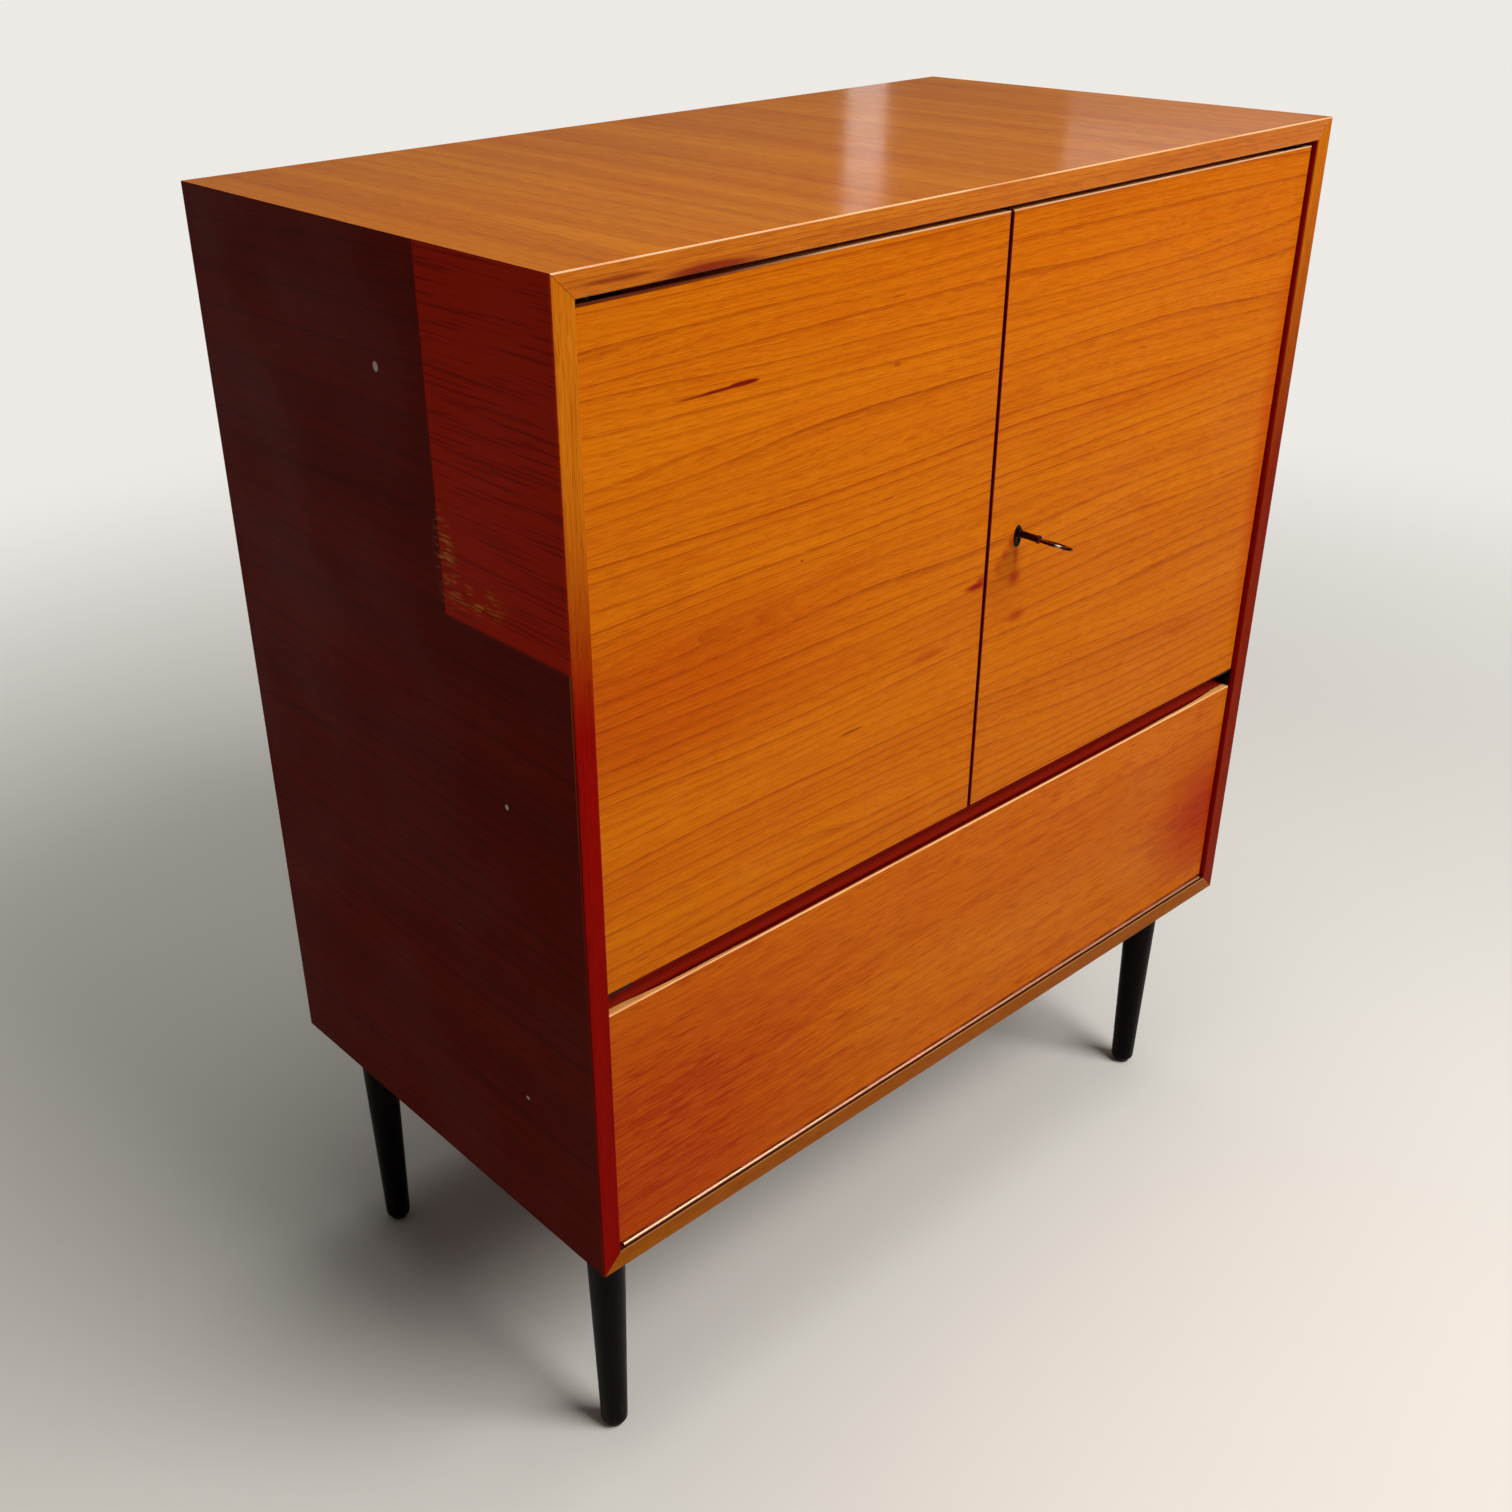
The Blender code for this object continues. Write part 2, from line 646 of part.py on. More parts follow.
def build_lock(door, door_axis, left_axis):
    """The rim lock on the back of the right door, its key and escutcheon, and the keeper on the left door."""
    keyhole = plate(
        "keyhole_cutter",
        [keyhole_outline(3 * RUN_GAP)],
        DOOR_THICKNESS + 2 * FRONT_RECESS,
        (KEY_X, FACE + DOOR_THICKNESS / 2, KEY_Z),
        ALONG_Y_XZ,
        parent=door_axis,
    )
    boolean(door, keyhole, "DIFFERENCE")

    escutcheon_rim = ellipse((0.0, -KEY_BIT_REACH / 3), ESCUTCHEON_WIDTH / 2, ESCUTCHEON_HEIGHT / 2)
    plate(
        "escutcheon",
        [escutcheon_rim, keyhole_outline(2 * RUN_GAP)],
        ESCUTCHEON_THICKNESS,
        (KEY_X, FACE - SEAT_GAP - ESCUTCHEON_THICKNESS / 2, KEY_Z),
        ALONG_Y_XZ,
        BLACK_STEEL,
        door_axis,
    )

    case_left = DOOR_EDGE + CASE_EDGE_INSET
    case_front = DOOR_BACK + SEAT_GAP
    low = Vector((case_left, case_front, KEY_Z - CASE_DROP))
    high = Vector((case_left + CASE_WIDTH, case_front + CASE_DEPTH, KEY_Z + CASE_RISE))
    case = box("lock_case", low, high, STEEL, door_axis, soften=EDGE_SOFTENING)
    wall = Vector((CASE_WALL, 0.0, CASE_WALL))
    hollow_low = low + wall - Vector((0.0, CASE_DEPTH, 0.0))
    hollow_high = high - wall - Vector((0.0, CASE_WALL, 0.0))
    boolean(case, box("lock_case_hollow", hollow_low, hollow_high, parent=door_axis), "DIFFERENCE")

    bolt_left = case_left + SEAT_GAP
    half_height = LOCK_BOLT_HEIGHT / 2
    half_thickness = LOCK_BOLT_THICKNESS / 2
    slot = box(
        "lock_bolt_slot",
        (case_left - CASE_WALL, LOCK_BOLT_Y - half_thickness - SEAT_GAP, LOCK_BOLT_Z - half_height - SEAT_GAP),
        (case_left + 2 * CASE_WALL, LOCK_BOLT_Y + half_thickness + SEAT_GAP, LOCK_BOLT_Z + half_height + SEAT_GAP),
        parent=door_axis,
    )
    boolean(case, slot, "DIFFERENCE")
    bolt_axis = joint_empty("lock_bolt_axis", (bolt_left, LOCK_BOLT_Y, LOCK_BOLT_Z), door_axis)
    box(
        "lock_bolt",
        (bolt_left, LOCK_BOLT_Y - half_thickness, LOCK_BOLT_Z - half_height),
        (bolt_left + LOCK_BOLT_LENGTH, LOCK_BOLT_Y + half_thickness, LOCK_BOLT_Z + half_height),
        BRASS,
        bolt_axis,
        soften=EDGE_SOFTENING,
    )

    inner = half_height + KEEPER_GAP
    outer = inner + KEEPER_WALL
    foot = outer + KEEPER_FOOT
    roof = LOCK_BOLT_Y + half_thickness + KEEPER_GAP - DOOR_BACK
    seat = SEAT_GAP
    hat = [
        (seat, -foot),
        (seat + KEEPER_WALL, -foot),
        (seat + KEEPER_WALL, -outer),
        (roof + KEEPER_WALL, -outer),
        (roof + KEEPER_WALL, outer),
        (seat + KEEPER_WALL, outer),
        (seat + KEEPER_WALL, foot),
        (seat, foot),
        (seat, inner),
        (roof, inner),
        (roof, -inner),
        (seat, -inner),
    ]
    keeper_x = -DOOR_EDGE - KEEPER_INSET - KEEPER_LENGTH / 2
    plate("lock_keeper", [hat], KEEPER_LENGTH, (keeper_x, DOOR_BACK, LOCK_BOLT_Z), ALONG_X_YZ, STEEL, left_axis)


def build_key(door_axis):
    """The key in the lock: a turned shank and collar, a flat oval bow and the bit inside the case."""
    axis = joint_empty("key_axis", (KEY_X, FACE, KEY_Z), door_axis)
    tip = -(DOOR_THICKNESS + SEAT_GAP + CASE_DEPTH - CASE_WALL - KEY_END_CLEARANCE)
    collar_foot = SEAT_GAP + ESCUTCHEON_THICKNESS + SEAT_GAP
    collar_top = collar_foot + KEY_COLLAR_LENGTH
    bead = KEY_COLLAR_RADIUS - KEY_SHANK_RADIUS
    profile = [
        (0.0, collar_top),
        (KEY_SHANK_RADIUS, collar_top),
        (KEY_COLLAR_RADIUS, collar_top - bead),
        (KEY_COLLAR_RADIUS, collar_top - 2 * bead),
        (KEY_SHANK_RADIUS + bead / 2, collar_top - 3 * bead),
        (KEY_SHANK_RADIUS + bead / 2, collar_foot + 2 * bead),
        (KEY_COLLAR_RADIUS, collar_foot + bead),
        (KEY_COLLAR_RADIUS, collar_foot),
        (KEY_SHANK_RADIUS, collar_foot),
        (KEY_SHANK_RADIUS, tip),
        (0.0, tip),
    ]
    place = (KEY_X, FACE, KEY_Z)
    key = turned("key", profile, place, DARK_BRASS, axis, ALONG_Y_XZ, SMALL_STEPS)

    bow_end = FACE - FRONT + KEY_REACH
    bow_start = collar_top - 2 * OVERLAP
    bow_middle = (0.0, (bow_start + bow_end) / 2)
    half_length = (bow_end - bow_start) / 2
    half_width = KEY_BOW_WIDTH / 2
    flat = (math.pi, KEY_TILT, 0.0)
    bow = plate(
        "key_bow",
        [
            ellipse(bow_middle, half_width, half_length),
            ellipse(bow_middle, half_width - KEY_BOW_RIM, half_length - KEY_BOW_RIM),
        ],
        KEY_BOW_THICKNESS,
        place,
        flat,
        parent=axis,
    )
    boolean(key, bow, "UNION")
    bit_low = (0.0, tip + OVERLAP)
    bit_high = (KEY_BIT_REACH, tip + OVERLAP + KEY_BIT_WIDTH)
    bit = plate("key_bit", [rectangle(bit_low, bit_high)], KEY_BIT_THICKNESS, place, flat, parent=axis)
    boolean(key, bit, "UNION")


def build_left_bolt(door_axis):
    """The flat bolt that holds the left door to the rail above, and the guide it slides in."""
    guide_top = BOLT_TOP - OVERLAP - BOLT_REST_GAP
    guide_bottom = guide_top - GUIDE_LENGTH
    seat = DOOR_BACK + SEAT_GAP
    guide = box(
        "bolt_guide",
        (BOLT_X - GUIDE_WIDTH / 2, seat, guide_bottom),
        (BOLT_X + GUIDE_WIDTH / 2, seat + GUIDE_BASE, guide_top),
        BRASS,
        door_axis,
        soften=EDGE_SOFTENING,
    )
    half_x = BOLT_WIDTH / 2 + RUN_GAP
    half_y = BOLT_THICKNESS / 2 + RUN_GAP
    loop_outer = rectangle(
        (-half_x - GUIDE_LOOP_WALL, -half_y - GUIDE_BASE / 2), (half_x + GUIDE_LOOP_WALL, half_y + GUIDE_LOOP_WALL)
    )
    loop_hole = rectangle((-half_x, -half_y), (half_x, half_y))
    for end, z in (
        ("upper", guide_top - GUIDE_LOOP / 2 - EDGE_SOFTENING),
        ("lower", guide_bottom + GUIDE_LOOP / 2 + EDGE_SOFTENING),
    ):
        loop = plate(
            f"bolt_{end}_loop",
            [loop_outer, loop_hole],
            GUIDE_LOOP,
            (BOLT_X, BOLT_Y, z),
            ALONG_Z_XY,
            parent=door_axis,
        )
        boolean(guide, loop, "UNION")

    axis = joint_empty("left_bolt_axis", (BOLT_X, BOLT_Y, BOLT_TOP), door_axis)
    bolt = box(
        "left_bolt",
        (BOLT_X - BOLT_WIDTH / 2, BOLT_Y - BOLT_THICKNESS / 2, BOLT_TOP - BOLT_LENGTH),
        (BOLT_X + BOLT_WIDTH / 2, BOLT_Y + BOLT_THICKNESS / 2, BOLT_TOP),
        BRASS,
        axis,
        soften=EDGE_SOFTENING,
    )
    knob_z = (guide_top + guide_bottom) / 2 - BOLT_KNOB_RADIUS
    knob = cylinder(
        "bolt_knob",
        BOLT_KNOB_RADIUS,
        (BOLT_X, BOLT_Y, knob_z),
        (BOLT_X, BOLT_Y + BOLT_KNOB_REACH, knob_z),
        parent=axis,
    )
    boolean(bolt, knob, "UNION")


def leaf_outline(up):
    """Section of a rolled hinge leaf about its pin: a knuckle with a tail that leaves it below or above."""
    inner = HINGE_RADIUS - HINGE_LEAF_THICKNESS
    meet = math.asin(-inner / HINGE_RADIUS)
    knuckle = arc((0.0, 0.0), HINGE_RADIUS, -math.pi / 2, meet - 2 * math.pi, SMALL_STEPS)
    outline = [(HINGE_LEAF_WIDTH, -HINGE_RADIUS), *knuckle, (HINGE_LEAF_WIDTH, -inner)]
    return [(y, -up * z) for y, z in outline]


def hinge_leaf(name, up, cut_cells, length, material, parent):
    """One leaf of the piano hinge, its knuckles cut away at the cells that belong to the other leaf."""
    bore = ellipse((0.0, 0.0), HINGE_BORE_RADIUS, HINGE_BORE_RADIUS, SMALL_STEPS)
    place = (0.0, HINGE_Y, HINGE_Z)
    leaf = plate(name, [leaf_outline(up), bore], length, place, ALONG_X_YZ, material, parent)
    shape = bmesh.new()
    reach = HINGE_RADIUS + SEAT_GAP
    for start, end in cut_cells:
        made = bmesh.ops.create_cube(shape, size=1.0)["verts"]
        bmesh.ops.scale(shape, vec=(end - start, 2 * reach, 2 * reach), verts=made)
        bmesh.ops.translate(shape, vec=((start + end) / 2, 0.0, 0.0), verts=made)
    mesh = bpy.data.meshes.new(f"{name}_gaps")
    shape.to_mesh(mesh)
    shape.free()
    gaps = add(f"{name}_gaps", mesh, place, parent=parent)
    boolean(leaf, gaps, "DIFFERENCE")


def build_hinge(flap_axis):
    """The piano hinge: two rolled leaves whose knuckles take turns along one pin."""
    length = 2 * (FLAP_HALF - HINGE_END_GAP)
    knuckles = 2 * round((length / HINGE_KNUCKLE - 1) / 2) + 1
    pitch = length / knuckles
    play = SEAT_GAP / 2
    cells = [(-length / 2 + i * pitch - play, -length / 2 + (i + 1) * pitch + play) for i in range(knuckles)]
    hinge_leaf("hinge_leaf_fixed", -1, cells[1::2], length, BRASS, None)
    hinge_leaf("hinge_leaf_flap", 1, cells[0::2], length, BRASS, flap_axis)
    ends = [(side * length / 2, HINGE_Y, HINGE_Z) for side in (-1, 1)]
    cylinder("hinge_pin", HINGE_PIN_RADIUS, ends[0], ends[1], STEEL)


def build_flap(axis):
    """The drop flap, with the finger groove routed behind the lip of its top edge.

    The groove's front wall runs out on a wide arc at both ends, so that the lip widens there.
    """
    front = FACE - HINGE_Y
    back = FLAP_BACK - HINGE_Y
    bottom = FLAP_BOTTOM - HINGE_Z
    top = FLAP_TOP - HINGE_Z
    outline = [
        (front + EDGE_SOFTENING, bottom),
        (back, bottom),
        (back, top),
        *arc((front + ARRIS, top - ARRIS), ARRIS, math.pi / 2, math.pi, CORNER_STEPS),
        (front, bottom + EDGE_SOFTENING),
    ]
    flap = plate("flap", [outline], 2 * FLAP_HALF, (0.0, HINGE_Y, HINGE_Z), ALONG_X_YZ, TEAK, axis)

    groove_end = FLAP_HALF - FLAP_GROOVE_END
    straight = groove_end - FLAP_GROOVE_RUN_OUT
    radius = (FLAP_GROOVE_RUN_OUT**2 + FLAP_GROOVE_WIDTH**2) / (2 * FLAP_GROOVE_WIDTH)
    turn = math.asin(FLAP_GROOVE_RUN_OUT / radius)
    run_outs = [
        *arc((straight, FLAP_LIP + radius), radius, -math.pi / 2, -math.pi / 2 + turn, 2 * CORNER_STEPS),
        *arc((-straight, FLAP_LIP + radius), radius, -math.pi / 2 - turn, -math.pi / 2, 2 * CORNER_STEPS),
    ]
    groove = plate(
        "finger_groove", [run_outs], 2 * FLAP_GROOVE_DEPTH, (0.0, FACE, FLAP_TOP), ALONG_Z_XY, parent=axis
    )
    boolean(flap, groove, "DIFFERENCE")


def build_stay(hand, side, flap_axis):
    """A slotted stay: its arm turns on the flap's bracket and slides over a headed pin on the cabinet's side.

    The anchor pin and the arm's pivot lie on one circle about the hinge. An angle on that circle is half the
    angle at its centre, so the arm turns by half of what the flap turns by, at every angle.
    """
    pivot = (FLAP_BACK + STAY_STANDOFF - HINGE_Y, STAY_HEIGHT)
    radius = math.hypot(*pivot)
    pivot_angle = math.atan2(pivot[1], pivot[0])
    anchor = (radius * math.cos(STAY_ANCHOR_ANGLE), radius * math.sin(STAY_ANCHOR_ANGLE))
    shut = 2 * radius * math.sin((pivot_angle - STAY_ANCHOR_ANGLE) / 2)
    dropped = 2 * radius * math.sin((pivot_angle + STAY_OPEN_ANGLE - STAY_ANCHOR_ANGLE) / 2)
    lie = (pivot_angle + STAY_ANCHOR_ANGLE) / 2 - math.pi / 2

    pivot_y = HINGE_Y + pivot[0]
    pivot_z = HINGE_Z + pivot[1]
    half_arm = STAY_ARM_WIDTH / 2
    arm_middle = side * (INNER_HALF - STAY_SIDE_GAP - STAY_ARM_THICKNESS / 2)
    slot_radius = STAY_PIN_RADIUS + RUN_GAP
    pivot_hole = STAY_PIVOT_RADIUS + RUN_GAP
    axis = joint_empty(f"{hand}_stay_axis", (arm_middle, pivot_y, pivot_z), flap_axis)
    plate(
        f"{hand}_stay_arm",
        [
            stadium(0.0, dropped, half_arm, lie),
            stadium(shut - RUN_GAP, dropped, slot_radius, lie),
            ellipse((0.0, 0.0), pivot_hole, pivot_hole, SMALL_STEPS),
        ],
        STAY_ARM_THICKNESS,
        (arm_middle, pivot_y, pivot_z),
        ALONG_X_YZ,
        BRASS,
        axis,
    )

    ear_outer = INNER_HALF - STAY_SIDE_GAP - STAY_ARM_THICKNESS - RUN_GAP
    ear_middle = side * (ear_outer - STAY_EAR_THICKNESS / 2)
    foot = FLAP_BACK + SEAT_GAP - pivot_y
    half_ear = STAY_ARM_WIDTH / 2
    ear = [(foot + OVERLAP, -half_ear), *arc((0.0, 0.0), half_ear, -math.pi / 2, math.pi / 2, SMALL_STEPS // 2)]
    ear.append((foot + OVERLAP, half_ear))
    base_x = sorted((side * ear_outer, side * (ear_outer - STAY_BASE_LENGTH)))
    bracket = box(
        f"{hand}_stay_bracket",
        (base_x[0], FLAP_BACK + SEAT_GAP, pivot_z - STAY_BASE_HEIGHT / 2),
        (base_x[1], FLAP_BACK + SEAT_GAP + STAY_BASE_THICKNESS, pivot_z + STAY_BASE_HEIGHT / 2),
        BRASS,
        flap_axis,
    )
    ear_plate = plate(
        f"{hand}_stay_ear",
        [ear],
        STAY_EAR_THICKNESS - OVERLAP,
        (ear_middle, pivot_y, pivot_z),
        ALONG_X_YZ,
        parent=flap_axis,
    )
    pin_end = side * (INNER_HALF - STAY_SIDE_GAP + OVERLAP)
    pivot_pin = cylinder(
        f"{hand}_stay_pivot",
        STAY_PIVOT_RADIUS,
        (ear_middle, pivot_y, pivot_z),
        (pin_end, pivot_y, pivot_z),
        parent=flap_axis,
    )
    boolean(bracket, ear_plate, "UNION")
    boolean(bracket, pivot_pin, "UNION")

    anchor_y = HINGE_Y + anchor[0]
    anchor_z = HINGE_Z + anchor[1]
    plate_thickness = STAY_BASE_THICKNESS
    plate_x = side * (INNER_HALF - SEAT_GAP - plate_thickness / 2)
    half_run = (STAY_PLATE_LENGTH - STAY_ARM_WIDTH) / 2
    anchor_plate = plate(
        f"{hand}_stay_pin",
        [stadium(-half_run, half_run, half_arm)],
        plate_thickness,
        (plate_x, anchor_y, anchor_z),
        ALONG_X_YZ,
        BRASS,
    )
    head_inner = side * (ear_outer - STAY_PIN_HEAD)
    for name, shank, start, end in (
        ("shank", STAY_PIN_RADIUS, plate_x, side * (ear_outer - OVERLAP)),
        ("head", STAY_PIN_HEAD_RADIUS, side * ear_outer, head_inner),
    ):
        piece = cylinder(
            f"{hand}_stay_pin_{name}", shank, (start, anchor_y, anchor_z), (end, anchor_y, anchor_z)
        )
        boolean(anchor_plate, piece, "UNION")


def build_catch(flap_axis):
    """The magnet block under the divider that stops and holds the flap, and its plate on the flap."""
    plate_front = FLAP_BACK + SEAT_GAP
    block_front = plate_front + CATCH_PLATE_THICKNESS + CATCH_GAP
    box(
        "flap_catch",
        (-CATCH_WIDTH / 2, block_front, FLAP_TOP - CATCH_OVERLAP),
        (CATCH_WIDTH / 2, block_front + CATCH_DEPTH, DIVIDER_BOTTOM - SEAT_GAP),
        NYLON,
        soften=EDGE_SOFTENING,
    )
    plate_low = FLAP_TOP - CATCH_OVERLAP + 2 * EDGE_SOFTENING
    plate(
        "catch_plate",
        [rounded_rectangle(CATCH_PLATE_WIDTH / 2, CATCH_PLATE_HEIGHT / 2, CATCH_PLATE_HEIGHT / 4)],
        CATCH_PLATE_THICKNESS,
        (0.0, plate_front + CATCH_PLATE_THICKNESS / 2, plate_low + CATCH_PLATE_HEIGHT / 2),
        ALONG_Y_XZ,
        STEEL,
        flap_axis,
    )


def main():
    """Build every piece of the cabinet."""
    build_carcass()
    build_legs()
    _, left_axis = build_door("left", -1)
    right_door, right_axis = build_door("right", 1)
    build_lock(right_door, right_axis, left_axis)
    build_key(right_axis)
    build_left_bolt(left_axis)
    flap_axis = joint_empty("flap_axis", (0.0, HINGE_Y, HINGE_Z))
    build_flap(flap_axis)
    build_hinge(flap_axis)
    for hand, side in (("left", -1), ("right", 1)):
        build_stay(hand, side, flap_axis)
    build_catch(flap_axis)


main()
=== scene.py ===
"""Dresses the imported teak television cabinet: its veneers, turned legs, lock, piano hinge and fastenings.

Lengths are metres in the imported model's frame: +X to the right of someone who faces the doors, +Y from the
front to the back and +Z up from the floor. Sizes that end in _mm are millimetres.
"""

import json
import logging
import math
from collections.abc import Mapping, Sequence
from dataclasses import dataclass, replace
from enum import Enum
from functools import cached_property

import bmesh
import bpy
import numpy as np
from mathutils import Matrix, Vector
from numpy.typing import NDArray


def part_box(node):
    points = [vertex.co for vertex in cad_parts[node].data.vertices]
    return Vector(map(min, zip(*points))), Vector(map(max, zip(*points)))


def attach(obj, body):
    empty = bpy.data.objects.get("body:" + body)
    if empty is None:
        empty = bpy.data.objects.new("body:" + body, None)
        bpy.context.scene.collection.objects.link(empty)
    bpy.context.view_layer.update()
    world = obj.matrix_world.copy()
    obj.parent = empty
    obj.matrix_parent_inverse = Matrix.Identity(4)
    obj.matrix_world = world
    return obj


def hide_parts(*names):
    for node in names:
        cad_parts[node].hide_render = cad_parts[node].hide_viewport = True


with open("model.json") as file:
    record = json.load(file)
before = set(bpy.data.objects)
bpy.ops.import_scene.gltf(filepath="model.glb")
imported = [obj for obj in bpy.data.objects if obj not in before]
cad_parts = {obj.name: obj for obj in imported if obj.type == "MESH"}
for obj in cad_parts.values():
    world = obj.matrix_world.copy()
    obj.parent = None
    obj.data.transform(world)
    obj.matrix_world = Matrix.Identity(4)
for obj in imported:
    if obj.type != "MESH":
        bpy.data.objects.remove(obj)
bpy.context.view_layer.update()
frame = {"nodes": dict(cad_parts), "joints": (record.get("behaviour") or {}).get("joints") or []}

LOG = logging.getLogger("tv_cabinet")

Array = NDArray[np.float64]
Point = tuple[float, float, float]
Pair = tuple[float, float]
Node = bpy.types.Node
Socket = bpy.types.NodeSocket
Value = Node | Socket | float | tuple[float, ...]

UP, DOWN, BACKWARD = (0, 0, 1), (0, 0, -1), (0, 1, 0)
# A length in metres, or a share, that counts as nought.
NOUGHT = 1e-6
# Edges that turn by more than this stay sharp.
CREASE = math.radians(35)
# Each screw's slot is turned on by this from the one before.
GOLDEN_ANGLE = 2.399963
# Cellulose lacquer, stoved enamel and nylon all lie near this.
LACQUER_IOR = PLASTIC_IOR = 1.5
# How far one step of shift moves a noise along each coordinate.
NOISE_STRIDE: Point = (1.0, 1.7, 2.3)
# Noise levels that keep a pattern soft.
SOFT: Pair = (0.3, 0.7)
# Each pattern of a wood takes its own stretch of the noise.
SWAY_SEED, BLUSH_SEED, PORE_SEED, PALE_SEED = 5.1, 2.6, 4.0, 7.3


class Axis(Enum):
    """The part's axes. Each holds the order of coordinates that puts that axis first."""

    X = (0, 1, 2)
    Y = (1, 0, 2)
    Z = (2, 0, 1)


class Hand(Enum):
    """The two hands of the cabinet, each with its sign along X."""

    LEFT = -1
    RIGHT = 1

    @property
    def word(self) -> str:
        """The hand's name in node names."""
        return self.name.lower()

    @property
    def inward(self) -> Point:
        """The direction from this hand to the cabinet's middle."""
        return -self.value, 0, 0

    def outer(self, node: str) -> float:
        """Give the X of a node's side that faces away from the cabinet's middle."""
        low, high = corners(node)
        return high[0] if self is Hand.RIGHT else low[0]


class Blend(Enum):
    """How a tone meets the wood: over it, or soaked into it so that the figure still shows."""

    COVER = "MIX"
    SOAK = "MULTIPLY"


class Outline(Enum):
    """The outline of a mark."""

    ROUND = "round"
    SQUARE = "square"


# Drawing materials


def linear(tone: str) -> tuple[float, float, float, float]:
    """Turn an sRGB hex colour into linear light.

    Args:
        tone: The colour as #RRGGBB.

    Returns:
        Linear red, green, blue and an alpha of 1.
    """
    shares = [int(tone[i : i + 2], 16) / 255 for i in (1, 3, 5)]
    red, green, blue = (s / 12.92 if s <= 0.04045 else ((s + 0.055) / 1.055) ** 2.4 for s in shares)
    return red, green, blue, 1.0


class Sketch:
    """A node tree in which a finish or the sky is drawn."""

    def __init__(self, tree: bpy.types.NodeTree, output: str) -> None:
        """Clear the tree and give it its output.

        Args:
            tree: The node tree.
            output: The output node's kind, as add takes it.
        """
        tree.nodes.clear()
        self.tree = tree
        self.output = self.add(output)

    @cached_property
    def place(self) -> Socket:
        """The surface's object coordinates, in metres."""
        return self.add("TexCoord").outputs["Object"]

    def wire(self, node: Node, sockets: Mapping[str | int, Value]) -> None:
        """Link a node's inputs, or set those that get a plain value.

        Args:
            node: The node to wire.
            sockets: What each input gets, by name or number. A node gives its first output that is in use.
        """
        for key, value in sockets.items():
            if isinstance(value, Node):
                value = next(socket for socket in value.outputs if socket.enabled)
            if isinstance(value, Socket):
                self.tree.links.new(value, node.inputs[key])
            else:
                node.inputs[key].default_value = value

    def add(self, kind: str, sockets: Mapping[str | int, Value] | None = None, **settings: object) -> Node:
        """Add one node with its settings and links.

        Args:
            kind: The node's type name, without ShaderNode.
            sockets: What each input gets, as wire takes it.
            settings: The node's own properties.

        Returns:
            The new node.
        """
        node = self.tree.nodes.new(f"ShaderNode{kind}")
        for name, value in settings.items():
            setattr(node, name, value)
        self.wire(node, sockets or {})
        return node

    def noise(
        self,
        cell_mm: Point | float,
        edges: Pair,
        span: Pair = (0.0, 1.0),
        detail: float = 2.0,
        shift: float = 0.0,
        place: Value | None = None,
    ) -> Node:
        """Lay down noise with cells of a real size and sharpen it between two levels.

        Args:
            cell_mm: The noise cell's size along each coordinate, or one size for all three.
            edges: Noise levels that give the first and the last value of span.
            span: The values given at the two levels.
            detail: Octaves of finer noise.
            shift: An offset that picks another stretch of the noise.
            place: Coordinates in metres, or nothing for the surface's own.

        Returns:
            The value's node.
        """
        scale = tuple(1000 / size for size in (cell_mm if isinstance(cell_mm, tuple) else (cell_mm,) * 3))
        where = {"Vector": self.place if place is None else place, "Scale": scale}
        start = tuple(stride * shift for stride in NOISE_STRIDE)
        cells = self.add("Mapping", {**where, "Location": start})
        drawn = self.add("TexNoise", {"Vector": cells, "Scale": 1.0, "Detail": detail})
        levels = {"From Min": edges[0], "From Max": edges[1], "To Min": span[0], "To Max": span[1]}
        return self.add("MapRange", {"Value": drawn, **levels}, interpolation_type="SMOOTHSTEP")

    def tint(self, colour: Value, tone: str, share: Value, blend: Blend = Blend.COVER) -> Node:
        """Mix a tone, as #RRGGBB, into a colour by a share from 0 to 1."""
        sockets = {0: share, 6: colour, 7: linear(tone)}
        return self.add("Mix", sockets, data_type="RGBA", blend_type=blend.value)

    def along(self, axis: Axis) -> Node:
        """Give the surface's coordinates with one axis put first."""
        parts = self.add("SeparateXYZ", {0: self.place}).outputs
        return self.add("CombineXYZ", {slot: parts[index] for slot, index in enumerate(axis.value)})

    def seen_by(self, *kinds: str) -> Value:
        """Give 1 for light paths of the named kinds, and 0 for the others.

        Args:
            kinds: Names of the Light Path node's outputs.

        Returns:
            The largest of those outputs.
        """
        path = self.add("LightPath").outputs
        seen = path[kinds[0]]
        for kind in kinds[1:]:
            seen = self.add("Math", {0: seen, 1: path[kind]}, operation="MAXIMUM")
        return seen

    def coat(
        self, colour: Value, film: Value, sockets: Mapping[str, Value], bump: Mapping[str, Value]
    ) -> None:
        """Shade the surface.

        Args:
            colour: Its colour.
            film: Its roughness.
            sockets: What else the shader's inputs get.
            bump: The height of the surface, how much of it shows and the distance that it stands for.
        """
        normal = self.add("Bump", bump)
        base = {"Base Color": colour, "Roughness": film, "Normal": normal}
        self.wire(self.output, {"Surface": self.add("BsdfPrincipled", {**base, **sockets})})


# Finishes


class Finish:
    """A finish of the cabinet, made into a material the first time that it is asked for.

    Its slot names the record's material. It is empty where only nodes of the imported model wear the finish.
    """

    name: str
    slot: str = ""

    def dress(self, draw: Sketch) -> None:
        """Draw the finish in a sketch."""
        raise NotImplementedError

    def material(self) -> bpy.types.Material:
        """Build the finish's material, or find it again.

        Returns:
            The material.
        """
        found = bpy.data.materials.get(self.name)
        if found is None:
            found = bpy.data.materials.new(self.name)
            found.use_nodes = True
            self.dress(Sketch(found.node_tree, "OutputMaterial"))
        return found


